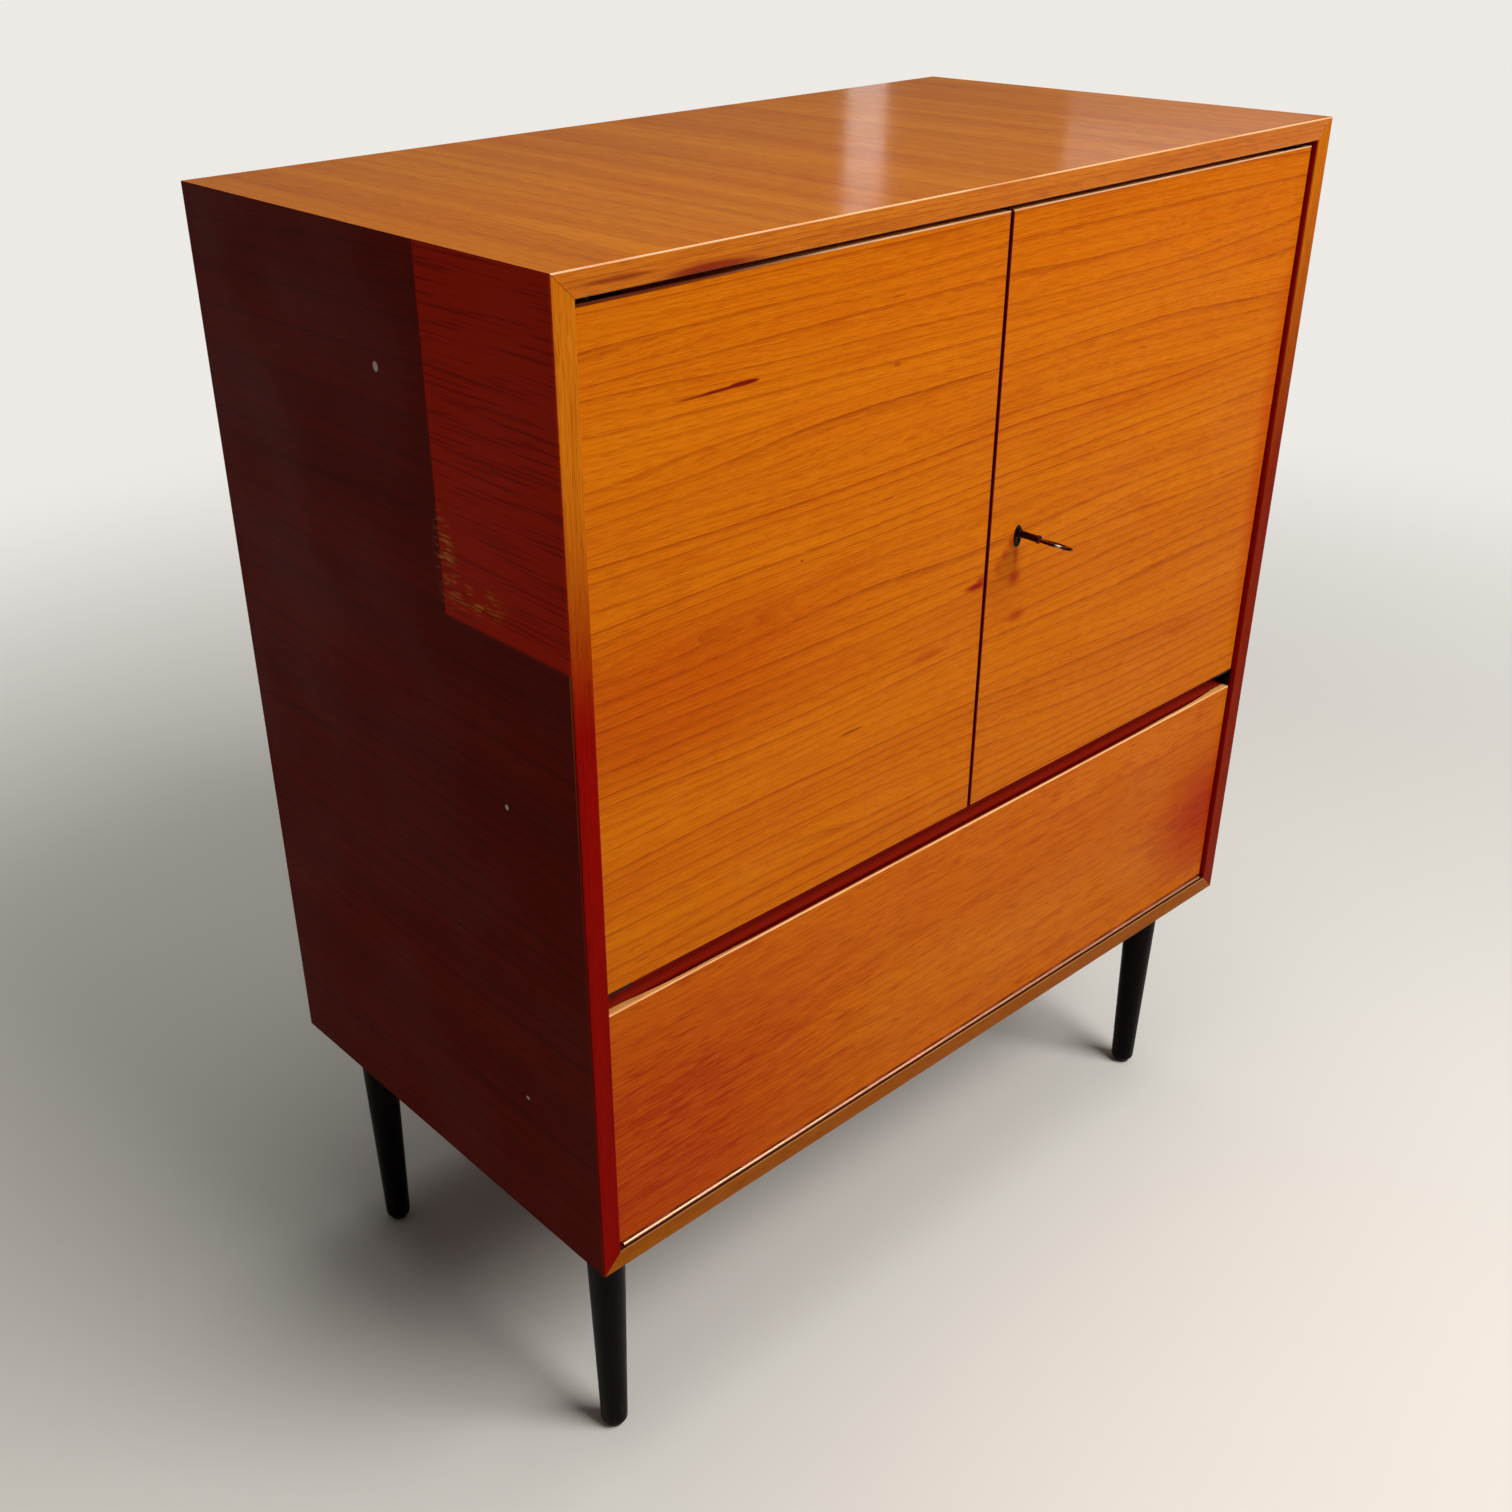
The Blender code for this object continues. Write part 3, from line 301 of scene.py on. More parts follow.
@dataclass(frozen=True)
class Tones:
    """The tones of one wood: its ground, broad bands, pale flecks, growth lines, pores and blushes."""

    ground: str
    band: str
    pale: str
    line: str
    pore: str
    blush: str


@dataclass(frozen=True)
class WoodFigure:
    """The figure of one wood: its tones, and how far apart, how long and how strong its marks are."""

    tones: Tones
    ring_mm: float = 12.5
    ring_share: float = 1.0
    fine_mm: float = 3.9
    fine_share: float = 0.45
    pale_share: float = 0.3
    pore_share: float = 0.35
    blush_share: float = 0.25
    band_share: float = 0.9
    # Pores are 0.2 mm wide in the wood. They are drawn wider, so that they show in the render.
    pore_mm: Point = (20.0, 0.8, 0.8)
    band_mm: Point = (2600.0, 55.0, 55.0)
    blush_mm: Point = (120.0, 26.0, 26.0)
    fading_mm: Point = (420.0, 6.0, 6.0)
    sway_run_mm: Point = (900.0, 70.0, 70.0)
    sway_mm: float = 14.0
    ring_power: float = 5.0
    fine_power: float = 3.0
    faintest_ring: float = 0.35
    sway_edges: Pair = (0.2, 0.8)
    band_edges: Pair = (0.34, 0.66)
    blush_edges: Pair = (0.48, 0.72)
    blush_detail: float = 3.0
    speck_edges: Pair = (0.54, 0.68)
    speck_detail: float = 1.0
    fading_edges: Pair = (0.30, 0.56)
    fading_span: Pair = (0.5, 1.0)
    shift: float = 0.0

    def rings(self, draw: Sketch, bent: Value, pitch_mm: float, power: float, share: float) -> Node:
        """Draw growth lines across the grain, each of which comes up slowly and ends on a sharp dark edge.

        The distance across the grain, counted in lines, is split. Its fraction raised to a power is the line,
        and its whole number picks how strong that line is. Noise along the grain lets lines fade in places.

        Args:
            draw: The sketch to draw in.
            bent: Coordinates with the grain's direction first, in metres.
            pitch_mm: The mean distance between lines.
            power: How thin the lines are.
            share: The strongest line's share of the line's tone.

        Returns:
            The node of a share from 0 to 1.
        """
        step = 1000 / pitch_mm
        count = draw.add("VectorMath", {0: bent, 1: (0.0, step, step)}, operation="DOT_PRODUCT")
        part = draw.add("Math", {0: count}, operation="FRACT")
        rise = draw.add("Math", {0: part, 1: power}, operation="POWER")
        whole = draw.add("Math", {0: count}, operation="FLOOR")
        own = draw.add("TexWhiteNoise", {"W": whole}, noise_dimensions="1D")
        strength = draw.add("MapRange", {"Value": own, "To Min": self.faintest_ring * share, "To Max": share})
        line = draw.add("Math", {0: rise, 1: strength}, operation="MULTIPLY")
        stretch = self.shift + pitch_mm
        fading = draw.noise(self.fading_mm, self.fading_edges, self.fading_span, shift=stretch, place=bent)
        return draw.add("Math", {0: line, 1: fading}, operation="MULTIPLY")

    def lay(self, draw: Sketch, grain: Axis) -> tuple[Node, Node]:
        """Lay bands, blushes, growth lines, pale flecks and pores along a grain that sways a little.

        Args:
            draw: The sketch to draw in.
            grain: The axis that the grain runs along.

        Returns:
            The colour and the height of the surface.
        """
        tones, straight = self.tones, draw.along(grain)
        reach, start = self.sway_mm / 1000, self.shift
        sway = draw.noise(self.sway_run_mm, self.sway_edges, shift=start + SWAY_SEED, place=straight)
        swing = {0: sway, 1: (0.0, reach, reach), 2: straight}
        bent = draw.add("VectorMath", swing, operation="MULTIPLY_ADD")
        band = draw.noise(self.band_mm, self.band_edges, (0.0, self.band_share), shift=start, place=bent)
        blush_span, blush_start = (0.0, self.blush_share), start + BLUSH_SEED
        blush = draw.noise(self.blush_mm, self.blush_edges, blush_span, self.blush_detail, blush_start, bent)
        pores, pale = (
            draw.noise(self.pore_mm, self.speck_edges, (0.0, share), self.speck_detail, start + seed, bent)
            for share, seed in ((self.pore_share, PORE_SEED), (self.pale_share, PALE_SEED))
        )
        layers = (
            (tones.band, band),
            (tones.blush, blush),
            (tones.line, self.rings(draw, bent, self.fine_mm, self.fine_power, self.fine_share)),
            (tones.line, self.rings(draw, bent, self.ring_mm, self.ring_power, self.ring_share)),
            (tones.pale, pale),
            (tones.pore, pores),
        )
        colour = linear(tones.ground)
        for tone, share in layers:
            colour = draw.tint(colour, tone, share)
        return colour, draw.add("Math", {0: 1.0, 1: pores}, operation="SUBTRACT")


@dataclass(frozen=True)
class Lipping:
    """A solid strip along one edge of a board, from its glue line to where it is whole, just beyond."""

    figure: WoodFigure
    grain: Axis
    across: Axis
    line: float
    beyond: float


@dataclass(frozen=True)
class Mark:
    """One mark in a surface: a soft-edged ellipsoid or box of another tone, whole or broken into flecks."""

    centre: Point
    half: Point
    tone: str
    share: float = 0.8
    core: float = 0.35
    blend: Blend = Blend.COVER
    outline: Outline = Outline.ROUND
    flecks_mm: Point | None = None

    def lay(self, draw: Sketch, colour: Value) -> Node:
        """Lay the mark over a colour.

        The offset from the centre is measured in halves. Its length for a round mark, or its largest part for
        a square one, runs from 0 in the middle to 1 at the rim, and the mark is full up to its core.

        Args:
            draw: The sketch to draw in.
            colour: The colour below.

        Returns:
            The marked colour's node.
        """
        offset = draw.add("VectorMath", {0: draw.place, 1: self.centre}, operation="SUBTRACT")
        scaled = draw.add("VectorMath", {0: offset, 1: self.half}, operation="DIVIDE")
        if self.outline is Outline.ROUND:
            reach = draw.add("VectorMath", {0: scaled}, operation="LENGTH")
        else:
            beside = draw.add("VectorMath", {0: scaled}, operation="ABSOLUTE")
            x, y, z = draw.add("SeparateXYZ", {0: beside}).outputs
            flat = draw.add("Math", {0: x, 1: y}, operation="MAXIMUM")
            reach = draw.add("Math", {0: flat, 1: z}, operation="MAXIMUM")
        rim = {"Value": reach, "From Min": 1.0, "From Max": self.core, "To Max": self.share}
        share = draw.add("MapRange", rim, interpolation_type="SMOOTHSTEP")
        if self.flecks_mm:
            flecks = draw.noise(self.flecks_mm, edges=(0.52, 0.64), detail=1.0)
            share = draw.add("Math", {0: share, 1: flecks}, operation="MULTIPLY")
        return draw.tint(colour, self.tone, share, self.blend)


@dataclass(frozen=True)
class Gloss:
    """The lacquer over a wood: its roughness from the polished to the handled places, and how it mirrors."""

    roughness: Pair
    specular: float


@dataclass(frozen=True)
class Timber(Finish):
    """A veneered board, lacquered by hand: lines under a film, pale along its upper front arris, which is a
    painted highlight and rubbed wear at once.
    """

    node: str
    wood: str
    figure: WoodFigure
    grain: Axis
    rubbed: str
    rubbed_share: float
    gloss: Gloss
    lippings: tuple[Lipping, ...]
    marks: tuple[Mark, ...] = ()
    highlight_reach: float = 0.0015
    highlight_core: float = 0.0007

    @property
    def name(self) -> str:
        """The material's name, from the wood and the board."""
        return f"{self.wood}_{self.node}"

    def highlight_and_wear(self, draw: Sketch) -> Node:
        """Find how near a point is to the board's upper front arris, broken up by noise: the share of the
        pale arris, a painted highlight and wear.

        The point's offset from the arris is flattened along X, so that its length is the distance.

        Args:
            draw: The sketch to draw in.

        Returns:
            The node of a share from 0 to 1.
        """
        low, high = corners(self.node)
        offset = draw.add("VectorMath", {0: draw.place, 1: (0.0, low[1], high[2])}, operation="SUBTRACT")
        flat = draw.add("VectorMath", {0: offset, 1: (0.0, 1.0, 1.0)}, operation="MULTIPLY")
        distance = draw.add("VectorMath", {0: flat}, operation="LENGTH")
        band = {"From Min": self.highlight_reach, "From Max": self.highlight_core, "To Max": self.rubbed_share}
        near = draw.add("MapRange", {"Value": distance, **band}, interpolation_type="SMOOTHSTEP")
        patchy = draw.noise(90.0, edges=(0.30, 0.56), span=(0.45, 1.0), detail=4.0)
        return draw.add("Math", {0: near, 1: patchy}, operation="MULTIPLY")

    def dress(self, draw: Sketch) -> None:
        """Draw the figure, the lippings, the pale arris (painted highlight and wear) and the marks, and lay
        the lacquer over them.

        Args:
            draw: The sketch to draw in.
        """
        colour, height = self.figure.lay(draw, self.grain)
        for lipping in self.lippings:
            strip, _ = lipping.figure.lay(draw, lipping.grain)
            depth = draw.add("SeparateXYZ", {0: draw.place}).outputs[lipping.across.value[0]]
            glue_line = {"Value": depth, "From Min": lipping.line, "From Max": lipping.beyond}
            edge = draw.add("MapRange", glue_line)
            colour = draw.add("Mix", {0: edge, 6: colour, 7: strip}, data_type="RGBA")
        colour = draw.tint(colour, self.rubbed, self.highlight_and_wear(draw))
        for mark in self.marks:
            colour = mark.lay(draw, colour)
        film = draw.noise(110.0, edges=(0.32, 0.68), span=self.gloss.roughness, detail=3.0)
        lacquer = {"IOR": LACQUER_IOR, "Specular IOR Level": self.gloss.specular}
        draw.coat(colour, film, lacquer, {"Height": height, "Strength": 0.35, "Distance": 0.00012})


@dataclass(frozen=True)
class EbonisedBeech(Finish):
    """Turned beech stained black and lacquered: lathe rings under a gloss, brown where shoes have hit it."""

    name: str = "ebonised_beech_turned"
    slot: str = "ebonised_beech"
    stain: str = "#040202"
    through: str = "#220705"
    scuff: str = "#3A2112"
    scuff_top: float = 0.09
    scuff_foot: float = 0.006
    specular: float = 0.05

    def dress(self, draw: Sketch) -> None:
        """Let the beech show through the stain along the grain, and scuff the foot.

        Args:
            draw: The sketch to draw in.
        """
        rays = draw.noise((1.6, 1.6, 24.0), edges=(0.48, 0.72), span=(0.0, 0.55), detail=3.0)
        colour = draw.tint(linear(self.stain), self.through, rays)
        height = draw.add("SeparateXYZ", {0: draw.place}).outputs[2]
        low = draw.add("MapRange", {"Value": height, "From Min": self.scuff_top, "From Max": self.scuff_foot})
        chips = draw.noise((9.0, 9.0, 16.0), edges=(0.60, 0.68), span=(0.0, 0.8), detail=4.0)
        scuffs = draw.add("Math", {0: low, 1: chips}, operation="MULTIPLY")
        colour = draw.tint(colour, self.scuff, scuffs)
        film = draw.noise((30.0, 30.0, 60.0), SOFT, span=(0.30, 0.44), detail=3.0)
        # Tool marks of the lathe, 0.8 mm apart on the wood, are drawn 2 mm apart so that they show.
        rings = draw.noise((200.0, 200.0, 2.0), SOFT, detail=1.0)
        lacquer = {"IOR": LACQUER_IOR, "Specular IOR Level": self.specular}
        draw.coat(colour, film, lacquer, {"Height": rings, "Strength": 0.25, "Distance": 0.0001})


@dataclass(frozen=True)
class Hardboard(Finish):
    """Pressed fibre board: smooth and mottled inside, with the print of the press's wire mesh on the back."""

    back: float
    name: str = "hardboard_pressed"
    fibre: str = "#7B4E2B"
    dark: str = "#573419"
    pale: str = "#96683D"
    specular: float = 0.3
    # The mesh has wires 1.2 mm apart. It is drawn 3 mm apart so that it shows.
    mesh_pitch: float = 0.003
    print_start: float = 0.002
    print_full: float = 0.001

    def dress(self, draw: Sketch) -> None:
        """Mottle the fibres, and press the mesh, a product of two sine waves, into the outer face only.

        Args:
            draw: The sketch to draw in.
        """
        clumps = draw.noise(60.0, edges=(0.30, 0.72), span=(0.0, 0.55), detail=5.0)
        colour = draw.tint(linear(self.fibre), self.dark, clumps)
        fibres = draw.noise((4.0, 4.0, 1.6), edges=(0.52, 0.72), span=(0.0, 0.6), detail=3.0)
        colour = draw.tint(colour, self.pale, fibres)
        turns = draw.add("VectorMath", {0: draw.place, 3: 2 * math.pi / self.mesh_pitch}, operation="SCALE")
        waves = draw.add("VectorMath", {0: turns}, operation="SINE")
        x, _, z = draw.add("SeparateXYZ", {0: waves}).outputs
        mesh = draw.add("Math", {0: x, 1: z}, operation="MULTIPLY")
        depth = draw.add("SeparateXYZ", {0: draw.place}).outputs[1]
        skin = {"From Min": self.back - self.print_start, "From Max": self.back - self.print_full}
        outer = draw.add("MapRange", {"Value": depth, **skin})
        pressed = draw.add("Math", {0: mesh, 1: outer}, operation="MULTIPLY")
        film = draw.noise(40.0, SOFT, span=(0.55, 0.78), detail=3.0)
        bump = {"Height": pressed, "Strength": 0.5, "Distance": 0.0004}
        draw.coat(colour, film, {"Specular IOR Level": self.specular}, bump)


@dataclass(frozen=True)
class Metal(Finish):
    """Drawn or plated metal: brushed one way, stained where lacquer has failed, bright where handled or where
    a glint is painted.
    """

    name: str
    clean: str
    stained: str
    bright: str
    brushed: Axis = Axis.X
    roughness: Pair = (0.24, 0.38)
    stain_share: float = 0.7
    stain_mm: float = 14.0
    slot: str = ""
    stain_dulls: float = 0.18

    def dress(self, draw: Sketch) -> None:
        """Stain the metal in patches, brush it, and polish it where the piece says that it is handled, which
        on the key also makes a painted highlight.

        Args:
            draw: The sketch to draw in.
        """
        stains = draw.noise(self.stain_mm, edges=(0.44, 0.70), span=(0.0, self.stain_share), detail=5.0)
        colour = draw.tint(linear(self.clean), self.stained, stains)
        handled = draw.add("Attribute", attribute_name="handled").outputs["Fac"]
        colour = draw.tint(colour, self.bright, handled)
        # Brush lines, a few hundredths of a millimetre apart, are drawn 0.5 mm apart so that they show.
        lines = draw.noise((30.0, 0.5, 0.5), SOFT, place=draw.along(self.brushed))
        smooth, rough = self.roughness
        brush = draw.add("MapRange", {"Value": lines, "To Min": smooth, "To Max": rough})
        dull = draw.add("Math", {0: stains, 1: self.stain_dulls, 2: brush}, operation="MULTIPLY_ADD")
        bump = {"Height": lines, "Strength": 0.2, "Distance": 0.00004}
        draw.coat(colour, dull, {"Metallic": 1.0}, bump)


@dataclass(frozen=True)
class BlackCoat(Finish):
    """A black skin, stoved enamel on steel or moulded nylon: slightly pebbled, dusty in the hollows."""

    name: str
    skin: str
    dust: str
    roughness: Pair
    pebble_mm: float = 1.4
    pebble_depth: float = 0.00005
    specular: float = 0.3
    slot: str = ""

    def dress(self, draw: Sketch) -> None:
        """Pebble the skin and lay a thin dust over it.

        Args:
            draw: The sketch to draw in.
        """
        dust = draw.noise(18.0, edges=(0.45, 0.8), span=(0.0, 0.35), detail=5.0)
        colour = draw.tint(linear(self.skin), self.dust, dust)
        film = draw.noise(7.0, SOFT, span=self.roughness, detail=3.0)
        pebbles = draw.noise(self.pebble_mm, edges=(0.25, 0.75), detail=1.0)
        skin = {"IOR": PLASTIC_IOR, "Specular IOR Level": self.specular}
        draw.coat(colour, film, skin, {"Height": pebbles, "Strength": 0.4, "Distance": self.pebble_depth})


# Lacquered brass is yellow, and brown where its lacquer has gone. The hinge's drawn barrel is pinker and
# paler, and the pivots, which nobody polishes, have gone brown all over.
BRASS = Metal("brass_lacquered", "#C59A52", "#7C5A2A", "#E3C07A", slot="lacquered_brass")
BRASS_BARREL = Metal("brass_drawn_barrel", "#E0A882", "#A46E4C", "#F0C8A4", Axis.X, (0.32, 0.44), 0.5, 30.0)
TARNISHED = Metal("brass_tarnished", "#5E421F", "#332411", "#7C5A2C", Axis.X, (0.40, 0.55), 0.7, 12.0)
# The key's brass is almost black from hands, with one pale spot on the bow where the lamp's glint falls: a
# painted highlight as well as thumb wear.
BROWNED_BRASS = Metal(
    "brass_browned_by_hand", "#36100A", "#0E0705", "#F0D4A8", Axis.Y, (0.12, 0.22), 0.8, 9.0, "browned_brass"
)
# Zinc plate is a cool grey with a dull bloom.
ZINC = Metal(
    "steel_zinc_plated", "#B4B3AC", "#85837B", "#D2D1CA", Axis.Z, (0.30, 0.45), 0.6, 10.0, "zinc_plated_steel"
)
# Stoved enamel is a deep black with a soft sheen, and nylon a greyer, duller one.
BLACK_ENAMEL = BlackCoat(
    "steel_black_enamelled", "#060505", "#161311", (0.40, 0.56), specular=0.12, slot="black_enamelled_steel"
)
NYLON = BlackCoat("nylon_black_moulded", "#141414", "#2E2B28", (0.45, 0.6), 0.8, 0.00003, slot="black_nylon")


# Surfaces


@dataclass(frozen=True)
class Shell:
    """A surface as points and four-cornered faces, with how much each point is handled."""

    points: Array
    faces: NDArray[np.int64]
    handled: Array

    def placed(self, origin: Sequence[float], outward: Sequence[float], spin: float = 0.0) -> "Shell":
        """Stand the shell's own Z on a direction.

        Args:
            origin: Where the shell's zero point goes.
            outward: The direction that its Z takes.
            spin: The turn about that direction, in radians.

        Returns:
            The shell in its place.
        """
        turn = Vector(outward).to_track_quat("Z", "Y").to_matrix() @ Matrix.Rotation(spin, 3, "Z")
        return replace(self, points=self.points @ np.array(turn).T + np.array(origin))


def round_angles(steps: int) -> Array:
    """Give even angles round a circle, in radians."""
    return np.arange(steps) * 2 * math.pi / steps


def woven(points: Array, ring: bool = False, handled: Array | None = None) -> Shell:
    """Lay faces between the neighbours of a grid of points, whose columns close on themselves.

    Args:
        points: Rows by columns by three.
        ring: Whether the rows close on themselves as well.
        handled: Rows by columns of shares, or nothing.

    Returns:
        The shell.
    """
    rows, columns = points.shape[:2]
    index = np.arange(rows * columns).reshape(rows, columns)
    index = np.hstack([index, index[:, :1]])
    if ring:
        index = np.vstack([index, index[:1]])
    faces = np.stack([index[:-1, :-1], index[:-1, 1:], index[1:, 1:], index[1:, :-1]], axis=-1).reshape(-1, 4)
    shares = np.zeros(rows * columns) if handled is None else handled.ravel()
    return Shell(points.reshape(-1, 3), faces, shares)


def revolved(profile: Array, steps: int) -> Shell:
    """Turn a profile about Z: a point at radius r and height h goes to (r cos a, r sin a, h).

    Args:
        profile: Radius and height of each point.
        steps: Points round the axis.

    Returns:
        The shell.
    """
    angle = round_angles(steps)
    radius, height = profile[:, :1], profile[:, 1:]
    return woven(np.stack([radius * np.cos(angle), radius * np.sin(angle), height + 0 * angle], axis=-1))


def bend(centre: Pair, radius: float, start: float, end: float, steps: int) -> Array:
    """Points of an arc in a profile: centre plus radius times the cosine and sine of an even run of angles.

    Args:
        centre: The arc's centre.
        radius: Its radius.
        start: The first angle in degrees.
        end: The last angle in degrees.
        steps: The number of points.

    Returns:
        The points, one in each row.
    """
    angle = np.radians(np.linspace(start, end, steps))
    return np.stack([centre[0] + radius * np.cos(angle), centre[1] + radius * np.sin(angle)], axis=-1)


def superellipse(half_width: float, half_height: float, power: float, steps: int) -> Array:
    """A rounded section: each of cosine and sine keeps its sign and is raised to 2 / power.

    Args:
        half_width: Half of the first side.
        half_height: Half of the second side.
        power: 2 gives an ellipse, and more squares it.
        steps: Points round the section.

    Returns:
        The points, one in each row.
    """
    angle = round_angles(steps)
    waves = np.stack([np.cos(angle), np.sin(angle)], axis=-1)
    return np.sign(waves) * np.abs(waves) ** (2 / power) * np.array([half_width, half_height])


def merge_doubles(mesh: bpy.types.Mesh, closed: bool) -> None:
    """Make doubled points of a mesh one point.

    Args:
        mesh: The mesh.
        closed: Whether its surfaces are closed, so that their faces can be turned outwards.
    """
    shape = bmesh.new()
    shape.from_mesh(mesh)
    bmesh.ops.remove_doubles(shape, verts=shape.verts, dist=NOUGHT)
    if closed:
        bmesh.ops.recalc_face_normals(shape, faces=shape.faces)
    shape.to_mesh(mesh)
    shape.free()


def placed_in_scene(name: str, data: bpy.types.ID) -> bpy.types.Object:
    """Make an object of a mesh, a lamp or a camera, and put it into the scene.

    Args:
        name: The object's name.
        data: What it holds.

    Returns:
        The object.
    """
    made = bpy.data.objects.new(name, data)
    bpy.context.scene.collection.objects.link(made)
    return made


def piece(name: str, shells: Sequence[Shell], finish: Finish, body: str, *nodes: str) -> None:
    """Make one mesh object of shells, and give it its finish, its body and the nodes that it stands for.

    Args:
        name: The piece's name.
        shells: The surfaces that it is made of.
        finish: Its finish.
        body: The body that it rides on.
        nodes: The nodes that it replaces.
    """
    starts = np.cumsum([0, *(len(shell.points) for shell in shells)])
    points = np.vstack([shell.points for shell in shells])
    faces = np.vstack([shell.faces + start for shell, start in zip(shells, starts)])
    mesh = bpy.data.meshes.new(name)
    mesh.from_pydata(points.tolist(), [], faces.tolist())
    handled = mesh.attributes.new("handled", "FLOAT", "POINT")
    handled.data.foreach_set("value", np.concatenate([shell.handled for shell in shells]))
    merge_doubles(mesh, closed=True)
    mesh.shade_smooth()
    mesh.set_sharp_from_angle(angle=CREASE)
    mesh.materials.append(finish.material())
    made = placed_in_scene(name, mesh)
    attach(made, body)
    if nodes:
        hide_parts(*nodes)
    LOG.info("%s: %d faces on %s", name, len(mesh.polygons), body)


def dress_nodes(finish: Finish, *nodes: str) -> None:
    """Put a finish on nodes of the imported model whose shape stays.

    Args:
        finish: The finish.
        nodes: The nodes' names.
    """
    for node in nodes:
        slots = frame["nodes"][node].data.materials
        slots.clear()
        slots.append(finish.material())
        LOG.info("%s: dressed with %s", node, finish.name)


def corners(node: str) -> tuple[Point, Point]:
    """Give a node's lowest and highest corner."""
    low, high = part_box(node)
    return tuple(low), tuple(high)


def middle(node: str) -> Point:
    """Give the middle of a node's box."""
    return tuple((low + high) / 2 for low, high in zip(*corners(node)))


def within(node: str, axis: Axis, inset: float) -> Pair:
    """Give the two places along an axis that lie an inset inside a node's box."""
    low, high = (corner[axis.value[0]] for corner in corners(node))
    return low + inset, high - inset


def joint_place(name: str) -> Point:
    """Give the point that a joint turns about."""
    return next(tuple(joint["pos_m"]) for joint in frame["joints"] if joint["name"] == name)


@dataclass(frozen=True)
class SlottedScrew:
    """A slotted screw's head that stands on a face. Sizes after the sink are shares of radius and rise."""

    radius: float
    rise: float
    sink: float = 0.00012
    slot: float = 0.16
    slot_floor: float = 0.22
    crown: float = 0.62
    chords: tuple[float, ...] = (0.42, 0.7, 0.92, 1.0)
    chord_steps: int = 9

    def shell(self, origin: Sequence[float], outward: Sequence[float], turn: int) -> Shell:
        """Work out the head.

        Chords are laid across the head side by side. Along each, the height falls with the square of the
        distance from the middle, and between the two chords that bound the slot it is the slot's floor. The
        chords return below the face, which closes the head.

        Args:
            origin: The middle of the head on its face.
            outward: The direction that the head faces.
            turn: A number that picks where the slot points.

        Returns:
            The shell.
        """
        half = np.array([self.slot, self.slot, *self.chords])
        across = np.concatenate([-half[::-1], half])[:, None]
        beside = len(half) - 1
        in_slot = np.repeat([False, True, False], [beside, 2, beside])[:, None]
        step = np.sin(np.linspace(-math.pi / 2, math.pi / 2, self.chord_steps))
        run = np.concatenate([step, step[::-1]])
        under = np.repeat([False, True], len(step))
        x = across + 0 * run
        y = np.sqrt(1 - across**2) * run
        top = self.rise * np.where(in_slot, self.slot_floor, 1 - self.crown * (x**2 + y**2))
        z = np.where(under, -self.sink, top)
        points = np.stack([self.radius * x, self.radius * y, z], axis=-1)
        return woven(points).placed(origin, outward, GOLDEN_ANGLE * turn)

    def drive(
        self, name: str, spots: Sequence[Point], outward: Point, finish: Finish, body: str, first: int = 0
    ) -> None:
        """Drive a row of screws as one piece.

        Args:
            name: The piece's name.
            spots: The middle of each head on its face.
            outward: The direction that the heads face.
            finish: Their finish.
            body: The body that they ride on.
            first: The number that picks where the first slot points.
        """
        shells = [self.shell(spot, outward, turn) for turn, spot in enumerate(spots, first)]
        piece(name, shells, finish, body)


# Sub-assemblies

# Teak fronts: fine orange lines, and a plainer flecked run on the flap.
TEAK_DOORS = WoodFigure(Tones("#CC6C03", "#C46202", "#D8800E", "#8E3001", "#8C3001", "#AE4202"), shift=1.0)
TEAK_FLAP = WoodFigure(
    Tones("#C46004", "#CC6A04", "#D2760C", "#9A3602", "#7E2002", "#A83402"),
    ring_mm=17.0,
    ring_share=0.5,
    fine_share=0.4,
    pore_share=0.45,
    blush_share=0.35,
    pore_mm=(26.0, 1.1, 1.1),
    band_mm=(900.0, 60.0, 60.0),
    blush_mm=(70.0, 13.0, 13.0),
    shift=7.0,
)
# Teak outside: broad golden bands on the top, and on the sides dark red-brown: the same teak darkened to its
# look in shade, which is painted shade.
TEAK_TOP = WoodFigure(
    Tones("#BE6C04", "#AE5A03", "#CA7C0A", "#8C3C08", "#7A3004", "#A84A06"),
    ring_mm=24.0,
    ring_share=0.5,
    fine_mm=6.5,
    fine_share=0.3,
    shift=13.0,
)
TEAK_DARKENED_AS_IN_SHADE = WoodFigure(
    Tones("#7C1603", "#6C1002", "#8A1E04", "#3E0601", "#300501", "#5C0C02"),
    ring_mm=16.0,
    ring_share=0.8,
    fine_mm=4.6,
    shift=21.0,
)
# Edges: close lines on the outer boards, pale on the fronts' upper edges, which is a painted highlight, and
# dark red edging.
TEAK_LIPPING = WoodFigure(
    Tones("#C46C0C", "#B75D07", "#D07D18", "#8A3A06", "#6C2C04", "#A04A06"),
    ring_mm=4.2,
    ring_share=0.75,
    fine_mm=1.7,
    blush_share=0.4,
    band_mm=(700.0, 14.0, 14.0),
    blush_mm=(160.0, 8.0, 8.0),
    sway_mm=4.0,
    shift=31.0,
)
PALE_EDGE_HIGHLIGHT = WoodFigure(
    Tones("#DF9F5A", "#D8954E", "#E9B278", "#B07034", "#9C6028", "#D08A44"),
    ring_mm=5.0,
    ring_share=0.4,
    shift=37.0,
)
RED_EDGE = WoodFigure(
    Tones("#941408", "#841006", "#A01C0C", "#560803", "#460603", "#6E0C05"),
    ring_mm=5.0,
    ring_share=0.5,
    shift=39.0,
)
# The doors' meeting edges take a darker copy of the red edging: painted shade in the gap between the doors.
MEETING_EDGE_PAINTED_SHADE = replace(
    RED_EDGE, tones=Tones("#741006", "#660C05", "#801808", "#400703", "#340602", "#540B04")
)
